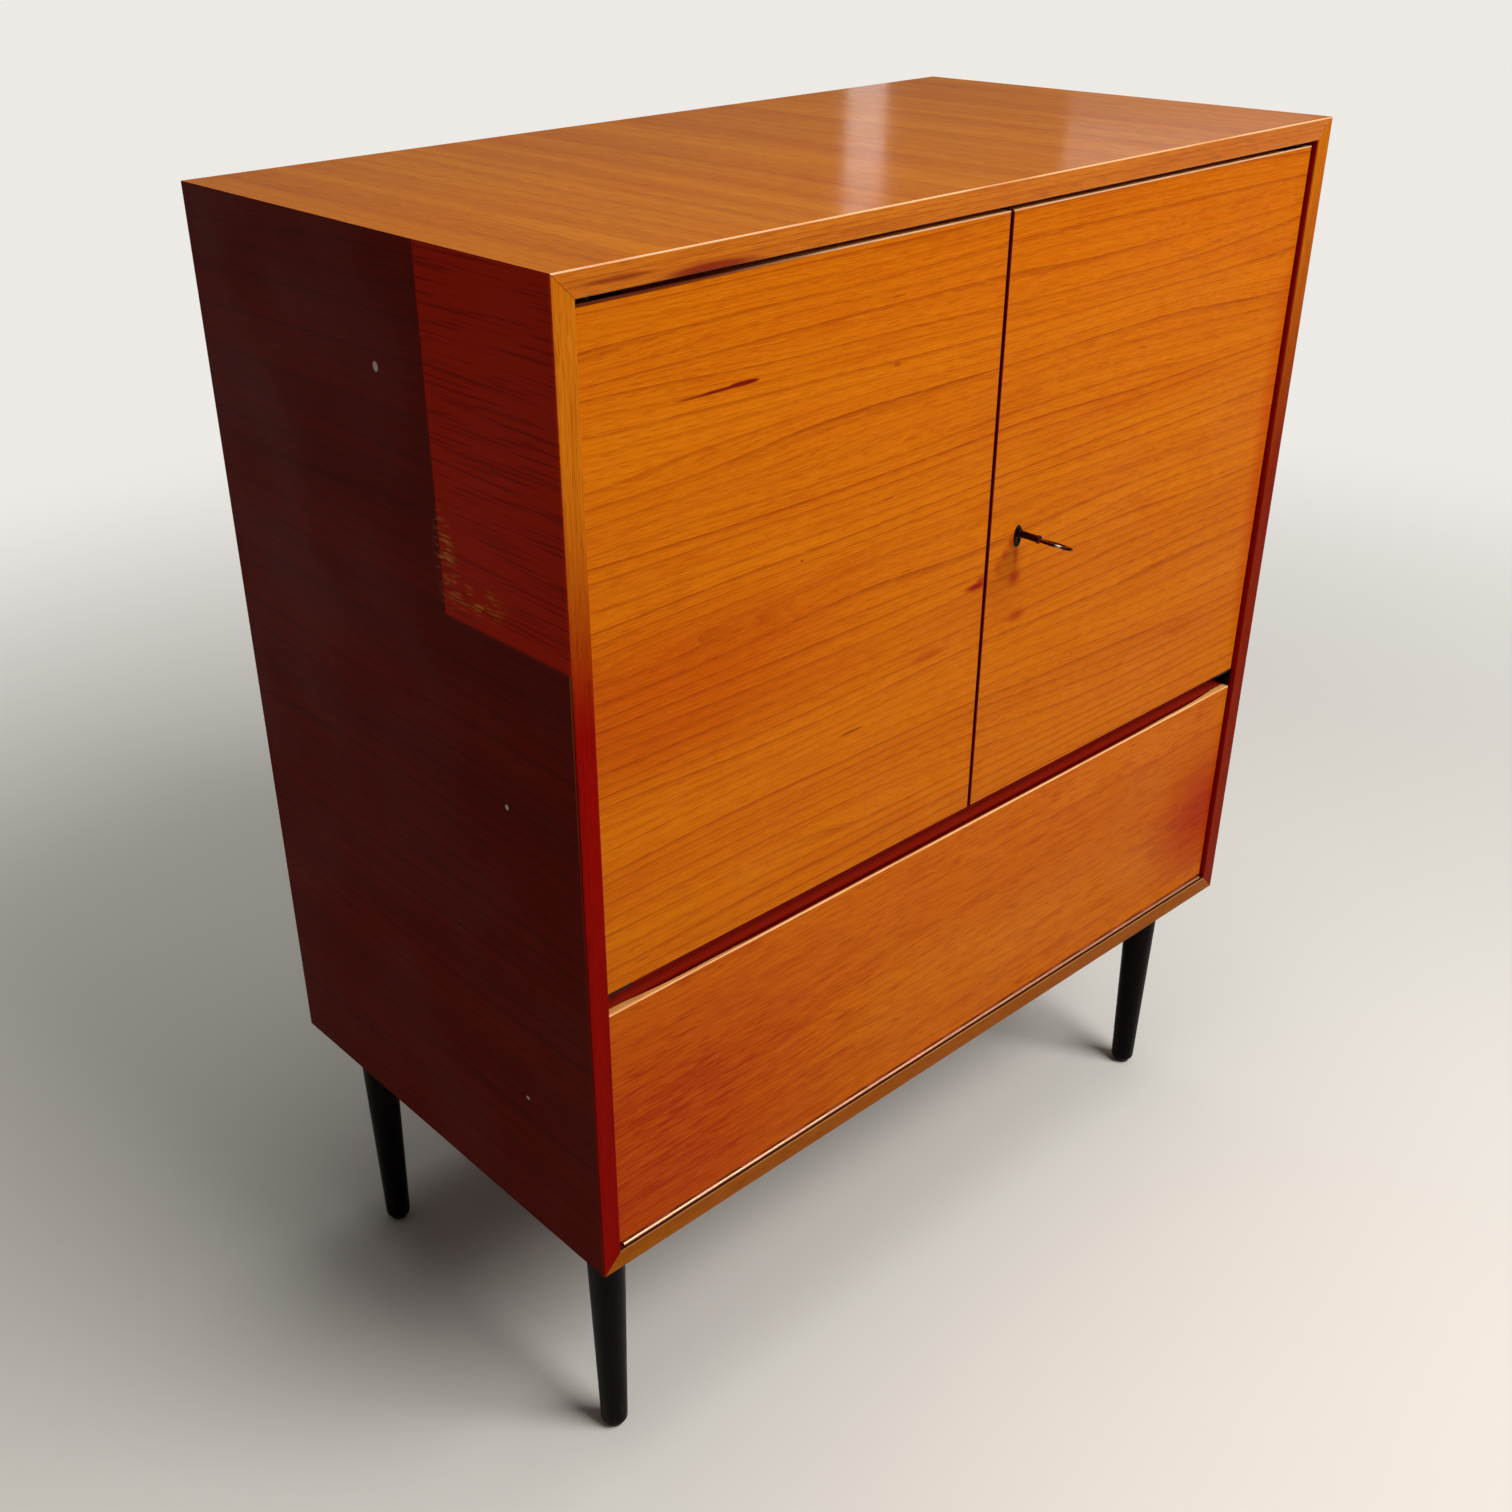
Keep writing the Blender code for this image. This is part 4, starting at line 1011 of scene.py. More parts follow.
# Mahogany inside, brown and even.
MAHOGANY = WoodFigure(
    Tones("#7A3416", "#6E2C11", "#8B4420", "#4E1C0A", "#361206", "#66260E"),
    ring_mm=18.0,
    fine_mm=5.5,
    shift=41.0,
)
# Glosses: a worn satin on the fronts, a dull film on the sides, polish on the top, and bare oil inside.
SATIN = Gloss((0.40, 0.52), 0.045)
SHADED = Gloss((0.42, 0.52), 0.02)
POLISHED = Gloss((0.10, 0.16), 0.10)
OILED = Gloss((0.45, 0.58), 0.25)


def highlit_top_edge(node: str, line: float = 0.0007, beyond: float = 0.0004) -> Lipping:
    """Give a front's pale upper edge, a painted highlight, from depths of its glue line and of where it is
    full below the top.
    """
    top = corners(node)[1][2]
    return Lipping(PALE_EDGE_HIGHLIGHT, Axis.X, Axis.Z, top - line, top - beyond)


@dataclass
class Carcass:
    """The mitred box, its back, its divider and its stop rail."""

    lipping: float = 0.0032
    glue_line: float = 0.0002
    rubbed: str = "#F0C896"
    rubbed_inside: str = "#A5693D"
    rubbed_inside_share: float = 0.2
    screw: SlottedScrew = SlottedScrew(0.0032, 0.00085)
    screw_inset: float = 0.0055
    screw_spacing: float = 0.15

    def front_lipping(self, node: str, figure: WoodFigure, grain: Axis) -> Lipping:
        """Give the lipping along a board's front edge, with its own figure and grain."""
        line = corners(node)[0][1] + self.lipping
        return Lipping(figure, grain, Axis.Y, line, line - self.glue_line)

    def boards(self) -> None:
        """Dress the four outer boards: veneer from front to back, with a lipping along each front edge."""
        plans = (
            ("top_panel", TEAK_TOP, Axis.X, 0.6, POLISHED, self.top_stains()),
            ("bottom_panel", TEAK_DARKENED_AS_IN_SHADE, Axis.X, 0.25, SATIN, self.bottom_stains()),
            ("left_side", TEAK_DARKENED_AS_IN_SHADE, Axis.Z, 0.0, SHADED, self.left_stains()),
            ("right_side", TEAK_DARKENED_AS_IN_SHADE, Axis.Z, 0.0, SHADED, self.right_stains()),
        )
        for node, figure, strip, share, gloss, marks in plans:
            edge = self.front_lipping(node, TEAK_LIPPING, strip)
            finish = Timber(node, "teak_veneer", figure, Axis.Y, self.rubbed, share, gloss, (edge,), marks)
            dress_nodes(finish, node)

    def top_stains(self) -> tuple[Mark, ...]:
        """Stain the top board's front edge dark red with water, just over the doors.

        Returns:
            The marks.
        """
        front = corners("top_panel")[0][1]
        return (
            Mark((-0.335, front, 1.1345), (0.060, 0.004, 0.0060), "#A8482C", 0.9, blend=Blend.SOAK),
            Mark((-0.420, front, 1.1405), (0.040, 0.004, 0.0030), "#B06838", 0.7, blend=Blend.SOAK),
        )

    def bottom_stains(self) -> tuple[Mark, ...]:
        """Brown the bottom board's front edge, and paint the dark shadow line under the flap's hinge.

        Returns:
            The marks.
        """
        _, front, foot = corners("bottom_panel")[0]
        _, seat, leaf = corners("hinge_leaf_fixed")[0]
        return (
            Mark((0.0, front, foot), (2.0, 0.006, 0.08), "#D2D4C0", 1.0, blend=Blend.SOAK),
            # Painted shadow: a dark line on the bottom board under the hinge's barrel.
            Mark((0.0, seat, leaf), (2.0, 0.0016, 0.001), "#2A0602", 0.95, 0.85, outline=Outline.SQUARE),
        )

    def left_stains(self) -> tuple[Mark, ...]:
        """Mark the left side: a front edge that reddens downwards, a brighter red patch at the top front with
        scuffs, and three chips.

        Returns:
            The marks.
        """
        x, front, _ = corners("left_side")[0]
        square, scuff, chip = Outline.SQUARE, "#E88A3C", "#F4D6CA"
        # The patch reaches 161 mm back from the front edge and 287 mm down from the top.
        centre, half = (x, front + 0.080, 1.0115), (0.0007, 0.081, 0.1465)
        by_edge, by_foot = (x, front + 0.153, 0.915), (x, front + 0.120, 0.893)
        return (
            Mark((x, front, 0.45), (0.20, 0.004, 0.60), "#B41C0C", 1.0, 0.6, Blend.SOAK),
            Mark(centre, half, "#D62A0A", 0.9, 0.97, outline=square),
            Mark(centre, half, "#7C1004", 0.5, 0.97, outline=square, flecks_mm=(8.0, 90.0, 2.0)),
            Mark(by_edge, (0.002, 0.018, 0.052), scuff, 0.85, 0.2, flecks_mm=(8.0, 14.0, 2.0)),
            Mark(by_foot, (0.002, 0.052, 0.022), scuff, 0.8, 0.2, flecks_mm=(8.0, 20.0, 2.0)),
            Mark((x, -0.001, 1.0492), (0.003, 0.0042, 0.0048), chip, 1.0, 0.6),
            Mark((x, -0.131, 0.7186), (0.003, 0.0028, 0.0030), chip, 1.0, 0.6),
            Mark((x, -0.1282, 0.4194), (0.003, 0.003, 0.002), chip, 1.0, 0.6),
        )

    def right_stains(self) -> tuple[Mark, ...]:
        """Mark the right side: a front edge that reddens downwards, and dark red within the opening.

        Returns:
            The marks.
        """
        inner, front, _ = corners("right_side")[0]
        outer, square = Hand.RIGHT.outer("right_side"), Outline.SQUARE
        return (
            Mark((outer, front, 0.52), (0.20, 0.004, 0.62), "#B05438", 1.0, 0.4, Blend.SOAK),
            Mark((inner, front + 0.0165, 0.7), (0.0006, 0.016, 0.6), "#9C0803", 0.95, 0.9, outline=square),
        )

    def inside(self) -> None:
        """Dress the divider, the stop rail and the back."""
        tone, share = self.rubbed_inside, self.rubbed_inside_share
        for node in ("divider_shelf", "door_stop_rail"):
            edge = self.front_lipping(node, RED_EDGE, Axis.X)
            dress_nodes(Timber(node, "mahogany", MAHOGANY, Axis.X, tone, share, OILED, (edge,)), node)
        dress_nodes(Hardboard(corners("back_panel")[1][1]), "back_panel")

    def back_screws(self) -> None:
        """Screw the back to its rebates: heads at even steps along the four edges."""
        face = corners("back_panel")[1][1]
        across, up = (within("back_panel", axis, self.screw_inset) for axis in (Axis.X, Axis.Z))
        row, post = (
            np.linspace(*run, round((run[1] - run[0]) / self.screw_spacing) + 1) for run in (across, up)
        )
        spots = [(x, face, z) for z in up for x in row] + [(x, face, z) for x in across for z in post[1:-1]]
        self.screw.drive("back_panel_screws", spots, BACKWARD, ZINC, "carcass")

    def build(self) -> None:
        """Build and dress everything that stays still above the legs."""
        self.boards()
        self.inside()
        self.back_screws()


@dataclass
class Underframe:
    """Four turned legs on steel plates, with their glides."""

    foot_radius: float = 0.0135
    toe_radius: float = 0.006
    toe_end: float = -3.0
    arris: float = 0.0014
    arris_start: float = 15.0
    leg_steps: int = 72
    glide_edge: float = 0.0016
    glide_dimple: tuple[Pair, ...] = ((0.0, 0.0009), (0.0018, 0.0009), (0.0024, 0.0002), (0.0032, 0.0))
    glide_steps: int = 40
    screw: SlottedScrew = SlottedScrew(0.0042, 0.0013)
    screw_spread: float = 0.0215

    def size(self, node: str) -> Pair:
        """Give a round node's radius and height."""
        low, high = corners(node)
        return (high[0] - low[0]) / 2, high[2] - low[2]

    def stand(self, node: str, shell: Shell) -> Shell:
        """Stand a turned shell on the foot of a node's axis."""
        x, y, _ = middle(node)
        return shell.placed((x, y, corners(node)[0][2]), UP)

    def leg(self, node: str) -> None:
        """Turn one leg: a straight taper with a softened top and a rounded toe, carried round its axis.

        Args:
            node: The plain leg that it replaces.
        """
        radius, rise = self.size(node)
        toe_radius, arris = self.toe_radius, self.arris
        toe = bend((self.foot_radius - toe_radius, toe_radius), toe_radius, -90, self.toe_end, steps=10)
        taper = np.linspace(toe[-1], (radius, rise - arris), num=24)[1:]
        shoulder = bend((radius - arris, rise - arris), arris, self.arris_start, 90, steps=5)
        profile = np.vstack([[(0.0, 0.0)], toe, taper, shoulder, [(0.0, rise)]])
        shell = self.stand(node, revolved(profile, self.leg_steps))
        piece(f"turned_{node}", [shell], EbonisedBeech(), "carcass", node)

    def glide(self, node: str) -> None:
        """Mould one glide: a flat pad with a rounded rim and a dimple where its nail went in.

        Args:
            node: The plain glide that it replaces.
        """
        radius, rise = self.size(node)
        edge = self.glide_edge
        rim = bend((radius - edge, edge), edge, -90, 0, steps=7)
        profile = np.vstack([self.glide_dimple, rim, [(radius, rise), (0.0, rise)]])
        shell = self.stand(node, revolved(profile, self.glide_steps))
        piece(f"moulded_{node}", [shell], NYLON, "carcass", node)

    def plate(self, node: str) -> None:
        """Dress one leg plate, and screw it to the bottom board: a head near each corner.

        Args:
            node: The plate.
        """
        dress_nodes(BLACK_ENAMEL, node)
        x, y, _ = middle(node)
        face, spread = corners(node)[0][2], self.screw_spread
        spots = [(x + a * spread, y + b * spread, face) for a in (-1, 1) for b in (-1, 1)]
        self.screw.drive(f"{node}_screws", spots, DOWN, ZINC, "carcass")

    def build(self) -> None:
        """Build and dress the legs, glides and plates."""
        for row in ("front", "back"):
            for hand in Hand:
                self.leg(f"leg_{row}_{hand.word}")
                self.glide(f"glide_{row}_{hand.word}")
                self.plate(f"leg_plate_{row}_{hand.word}")


@dataclass
class Doors:
    """The two doors, their pivots, and the left door's bolt."""

    meeting_line: float = 0.0015
    meeting_beyond: float = 0.0010
    rubbed: str = "#F2CDA2"
    rubbed_share: float = 0.8
    mark_depth: float = 0.003
    small_screw: SlottedScrew = SlottedScrew(0.0021, 0.0008)
    bracket_screw: SlottedScrew = SlottedScrew(0.0028, 0.0009)
    bracket_thickness: float = 0.002
    bracket_screw_height: float = 0.0075
    bracket_screw_spread: float = 0.0042
    guide_thickness: float = 0.004
    guide_screw_side: float = 0.0026
    guide_screw_end: float = 0.020

    def leaves(self) -> None:
        """Dress both doors with one run of veneer, so that its lines carry on across the meeting edges."""
        for hand, marks in ((Hand.LEFT, self.left_marks()), (Hand.RIGHT, self.right_marks())):
            node, sign = f"{hand.word}_door", hand.value
            low, high = corners(node)
            meeting = low[0] if hand is Hand.RIGHT else high[0]
            line, beyond = meeting + sign * self.meeting_line, meeting + sign * self.meeting_beyond
            lippings = highlit_top_edge(node), Lipping(MEETING_EDGE_PAINTED_SHADE, Axis.Z, Axis.X, line, beyond)
            tone, share = self.rubbed, self.rubbed_share
            finish = Timber(node, "teak_veneer", TEAK_DOORS, Axis.X, tone, share, SATIN, lippings, marks)
            dress_nodes(finish, node)

    def small_marks(
        self, face: float, rows: Sequence[tuple[float, float, float, float, str, float, float]]
    ) -> tuple[Mark, ...]:
        """Give the small marks of a door's face.

        Args:
            face: The Y of the face.
            rows: Each mark's X and Z, half its width and height, its tone, its share and its core.

        Returns:
            The marks.
        """
        return tuple(
            Mark((x, face, z), (half_width, self.mark_depth, half_height), tone, share, core)
            for x, z, half_width, half_height, tone, share, core in rows
        )

    def left_marks(self) -> tuple[Mark, ...]:
        """Mark the left door: painted shade on the left part of its top edge, a long dark streak that tapers
        to the left, a short one, specks, and reds by the meeting edge that are the key's painted shadow.

        Returns:
            The marks.
        """
        (left, face, _), (_, _, top) = corners("left_door")
        dark, faint, red = "#721202", "#8A2A03", "#8E1204"
        rows = (
            (-0.3000, 1.0455, 0.0185, 0.0021, dark, 1.0, 0.75),
            (-0.3220, 1.0450, 0.0260, 0.0016, dark, 0.95, 0.6),
            (-0.3430, 1.0446, 0.0280, 0.0012, dark, 0.8, 0.5),
            (-0.1710, 0.7130, 0.0200, 0.0013, dark, 0.8, 0.5),
            (-0.1345, 1.0811, 0.0120, 0.0010, faint, 0.7, 0.35),
            (-0.1320, 1.0275, 0.0060, 0.0030, faint, 0.5, 0.35),
            (-0.2358, 0.8893, 0.0030, 0.0016, faint, 0.8, 0.35),
            (-0.1364, 0.9165, 0.0100, 0.0010, faint, 0.7, 0.35),
            (-0.4137, 0.5882, 0.0140, 0.0012, faint, 0.7, 0.35),
            (-0.0752, 0.7547, 0.0300, 0.0060, "#A83C02", 0.6, 0.35),
            # These two reds carry the key's painted shadow across the meeting gap.
            (-0.0130, 0.8033, 0.0220, 0.0050, red, 1.0, 0.2),
            (-0.0060, 0.8080, 0.0100, 0.0060, red, 0.7, 0.0),
        )
        return (
            # Painted shade: the pale top edge darkened over the door's left part.
            Mark((left, face, top), (0.32, 0.012, 0.0030), "#6E3A24", 1.0, 0.4, Blend.SOAK),
            Mark((-0.400, face, 0.815), (0.32, 0.012, 0.11), "#EFC8A8", 0.9, 0.1, Blend.SOAK),
            *self.small_marks(face, rows),
        )

    def right_marks(self) -> tuple[Mark, ...]:
        """Mark the right door: red patches under and beside the key, which are the key's painted shadow, and
        a redder outer edge.

        Returns:
            The marks.
        """
        face = corners("right_door")[0][1]
        painted_key_shadow = "#9C1A05"
        rows = (
            (0.0417, 0.7973, 0.0130, 0.0120, painted_key_shadow, 0.85, 0.0),
            (0.0496, 0.7570, 0.0200, 0.0090, painted_key_shadow, 0.7, 0.0),
            (0.0335, 0.8330, 0.0080, 0.0100, painted_key_shadow, 0.7, 0.0),
            (0.0255, 0.8235, 0.0090, 0.0110, painted_key_shadow, 0.6, 0.0),
            (0.0170, 0.8140, 0.0090, 0.0110, painted_key_shadow, 0.5, 0.0),
            (0.0413, 0.8180, 0.0060, 0.0180, painted_key_shadow, 0.6, 0.0),
        )
        edge = Mark((0.4580, face, 0.8200), (0.0350, 0.006, 0.3000), "#B02E02", 0.45)
        return *self.small_marks(face, rows), edge

    def pivots(self) -> None:
        """Dress the pivots, and screw each lower bracket to the cabinet's side."""
        for hand in Hand:
            plates = (f"{hand.word}_{end}" for end in ("door_top_plate", "door_bottom_plate", "top_pivot"))
            dress_nodes(TARNISHED, *plates)
            bracket = f"{hand.word}_bottom_pivot"
            dress_nodes(BLACK_ENAMEL, bracket)
            wall = hand.outer(bracket) - hand.value * self.bracket_thickness
            y, z = middle(bracket)[1], corners(bracket)[0][2] + self.bracket_screw_height
            spots = [(wall, y + side * self.bracket_screw_spread, z) for side in (-1, 1)]
            self.bracket_screw.drive(f"{bracket}_screws", spots, hand.inward, BLACK_ENAMEL, "carcass")

    def bolt(self) -> None:
        """Dress the left door's bolt, and screw its guide to the door."""
        guide = "bolt_guide"
        dress_nodes(BRASS, guide, "left_bolt")
        face = corners(guide)[0][1] + self.guide_thickness
        across, up = within(guide, Axis.X, self.guide_screw_side), within(guide, Axis.Z, self.guide_screw_end)
        spots = [(x, face, z) for x in across for z in up]
        self.small_screw.drive("bolt_guide_screws", spots, BACKWARD, BRASS, "left_door")

    def build(self) -> None:
        """Build and dress the doors."""
        self.leaves()
        self.pivots()
        self.bolt()


@dataclass
class Lock:
    """The rim lock: key, escutcheon, case, bolt and keeper."""

    shank_radius: float = 0.0026
    tip: float = 0.0273
    tip_chamfer: float = 0.0004
    collar_radius: float = 0.0040
    collar_foot: float = 0.0018
    collar_length: float = 0.024
    lower_bead: float = 0.0012
    upper_bead: float = 0.0016
    upper_bead_drop: float = 0.0020
    neck_start: float = 0.0030
    neck_end: float = 0.0042
    neck_dip: float = 0.2
    bow_width: float = 0.026
    bow_rim: float = 0.0055
    bow_thickness: float = 0.003
    bow_overlap: float = 0.001
    glint_angle: float = math.radians(142)
    glint_spread: float = math.radians(8)
    bit_reach: float = 0.0085
    bit_width: float = 0.006
    bit_thickness: float = 0.0022
    bit_chamfer: float = 0.0003
    bit_setback: float = 0.0005
    bit_end: float = 0.9
    tilt: float = math.radians(20)
    keyhole_slot: float = 0.0034
    keyhole_clearance: float = 0.0008
    keyhole_foot: float = 0.0005
    least_rim: float = 0.0004
    screw: SlottedScrew = SlottedScrew(0.0026, 0.0009)
    case_screw_inset: float = 0.006
    keeper_screw_inset: float = 0.0045
    keeper_thickness: float = 0.0015

    def shank(self) -> Shell:
        """Turn the key's shank: a round stem with a collar that swells into a bead at both ends.

        Returns:
            The shell, with the way out of the door along Z.
        """
        thin, thick = self.shank_radius, self.collar_radius
        waist = (thin + thick) / 2
        foot, top = self.collar_foot, self.collar_foot + self.collar_length
        low, high, chamfer = self.lower_bead, self.upper_bead, self.tip_chamfer
        hollow = (waist - self.neck_dip * (thick - waist), (foot + top) / 2)
        stem = [(0.0, -self.tip), (thin - chamfer, -self.tip), (thin, -self.tip + chamfer), (thin, foot)]
        lower = bend((thick - low, foot + low), low, -90, 90, steps=9)
        neck = np.linspace((waist, foot + self.neck_start), hollow, num=6)
        flare = np.linspace(hollow, (waist, top - self.neck_end), num=6)[1:]
        upper = bend((thick - high, top - self.upper_bead_drop), high, -90, 90, steps=11)
        profile = np.vstack([stem, lower, neck, flare, upper, [(thin, top), (0.0, top)]])
        return revolved(profile, steps=40)

    def bow(self, reach: float) -> Shell:
        """Carry a rounded section round an oval: the key's flat bow.

        The section's first side lies along the oval's outward normal, and its second along the bow's
        thickness. A pale spot, a painted highlight as well as the wear of a thumb, falls off from one angle
        round the oval as a bell curve.

        Args:
            reach: How far the bow's end stands out of the door.

        Returns:
            The shell, with the bow's width along X and the way out along Z.
        """
        start = self.collar_foot + self.collar_length - self.bow_overlap
        half_width = (self.bow_width - self.bow_rim) / 2
        half_length = (reach - start - self.bow_rim) / 2
        angle = round_angles(steps=72)
        path = np.stack([half_width * np.cos(angle), half_length * np.sin(angle)], axis=-1)
        normal = np.stack([np.cos(angle) / half_width, np.sin(angle) / half_length], axis=-1)
        normal /= np.linalg.norm(normal, axis=1, keepdims=True)
        section = superellipse(self.bow_rim / 2, self.bow_thickness / 2, power=3.2, steps=20)
        flat = path[:, None, :] + normal[:, None, :] * section[None, :, :1]
        thick = np.broadcast_to(section[None, :, 1], flat.shape[:2])
        points = np.stack([flat[..., 0], thick, flat[..., 1] + (start + reach) / 2], axis=-1)
        upper = np.clip(section.sum(axis=1) / np.abs(section).sum(axis=1), 0, 1)
        spot = np.exp(-(((angle - self.glint_angle) / self.glint_spread) ** 2))
        return woven(points, ring=True, handled=spot[:, None] * upper)

    def bit(self) -> Shell:
        """Carry a squared section out from the shank: the key's bit, chamfered and closed at both ends.

        Returns:
            The shell, with the way out of the shank along X.
        """
        section = superellipse(self.bit_thickness / 2, self.bit_width / 2, power=8.0, steps=24)
        reach, chamfer = self.bit_reach, self.bit_chamfer
        grow = np.array([0.0, self.bit_end, 1.0, 1.0, self.bit_end, 0.0])[:, None, None]
        out = np.array([0.0, 0.0, chamfer, reach - chamfer, reach, reach])[:, None]
        flat = section[None] * grow
        height = -self.tip + self.bit_setback + self.bit_width / 2
        return woven(np.stack([out + 0 * flat[..., 0], flat[..., 0], flat[..., 1] + height], axis=-1))

    def key(self) -> None:
        """Build the key from its shank, bow and bit, turned to the angle that it rests at."""
        centre = joint_place("key_turn")
        reach = centre[1] - corners("key")[0][1]
        # Shell X is the bow's width, Y its thickness and Z the way out of the door.
        width = np.array([math.cos(self.tilt), 0.0, -math.sin(self.tilt)])
        out = np.array([0.0, -1.0, 0.0])
        turn = np.stack([width, np.cross(out, width), out])
        shells = [
            replace(shell, points=shell.points @ turn + np.array(centre))
            for shell in (self.shank(), self.bow(reach), self.bit())
        ]
        piece("door_key", shells, BROWNED_BRASS, "key", "key")

    def escutcheon(self) -> None:
        """Press the escutcheon: an oval plate round a keyhole.

        Both outlines are distances from the key's axis along the same rays. A ray meets the keyhole's circle,
        or where it runs down the slot, the slot's side or foot. It meets the oval where the oval's quadratic
        is nought. The plate's section is carried from the keyhole to the rim, domed between them, and back.
        """
        low, high = corners("escutcheon")
        x, _, z = joint_place("key_turn")
        angle = round_angles(steps=96)
        ray = np.stack([np.cos(angle), np.sin(angle)], axis=-1)
        hole = self.shank_radius + self.keyhole_clearance
        foot = self.bit_reach + self.keyhole_foot
        side = self.keyhole_slot / 2 / np.maximum(np.abs(ray[:, 0]), NOUGHT)
        floor = np.where(ray[:, 1] < 0, foot / np.maximum(-ray[:, 1], NOUGHT), 0.0)
        inner = np.maximum(hole, np.minimum(side, floor))
        half = np.array([(high[0] - low[0]) / 2, (high[2] - low[2]) / 2])
        centre = np.array([(high[0] + low[0]) / 2 - x, (high[2] + low[2]) / 2 - z])
        square = ((ray / half) ** 2).sum(axis=1)
        linear_part = (ray * centre / half**2).sum(axis=1)
        rest = ((centre / half) ** 2).sum() - 1
        outer = (linear_part + np.sqrt(linear_part**2 - square * rest)) / square
        outer = np.maximum(outer, inner + self.least_rim)
        # The section: the share of the way from the keyhole to the rim, and of the plate's thickness.
        across = np.array([0.0, 0.0, 0.06, 0.3, 0.6, 0.85, 0.97, 1.0, 1.0])[:, None]
        lift = np.array([0.0, 0.72, 0.86, 1.0, 0.98, 0.85, 0.6, 0.3, 0.0])[:, None] * (high[1] - low[1])
        radius = inner + (outer - inner) * across
        depth = high[1] - lift + 0 * radius
        points = np.stack([x + radius * ray[:, 0], depth, z + radius * ray[:, 1]], axis=-1)
        piece("pressed_escutcheon", [woven(points, ring=True)], BLACK_ENAMEL, "right_door", "escutcheon")

    def works(self) -> None:
        """Dress the case, bolt and keeper, and screw the case and the keeper to their doors."""
        case, keeper = "lock_case", "lock_keeper"
        dress_nodes(ZINC, case, keeper)
        dress_nodes(BRASS, "lock_bolt")
        across, up = (within(case, axis, self.case_screw_inset) for axis in (Axis.X, Axis.Z))
        spots = [(x, corners(case)[1][1], z) for x in across for z in up]
        self.screw.drive("lock_case_screws", spots, BACKWARD, ZINC, "right_door")
        # The keeper's slots are turned on from the last of the case's.
        first = len(spots)
        x, face = middle(keeper)[0], corners(keeper)[0][1] + self.keeper_thickness
        spots = [(x, face, z) for z in within(keeper, Axis.Z, self.keeper_screw_inset)]
        self.screw.drive("lock_keeper_screws", spots, BACKWARD, ZINC, "left_door", first)

    def build(self) -> None:
        """Build and dress the lock."""
        self.key()
        self.escutcheon()
        self.works()


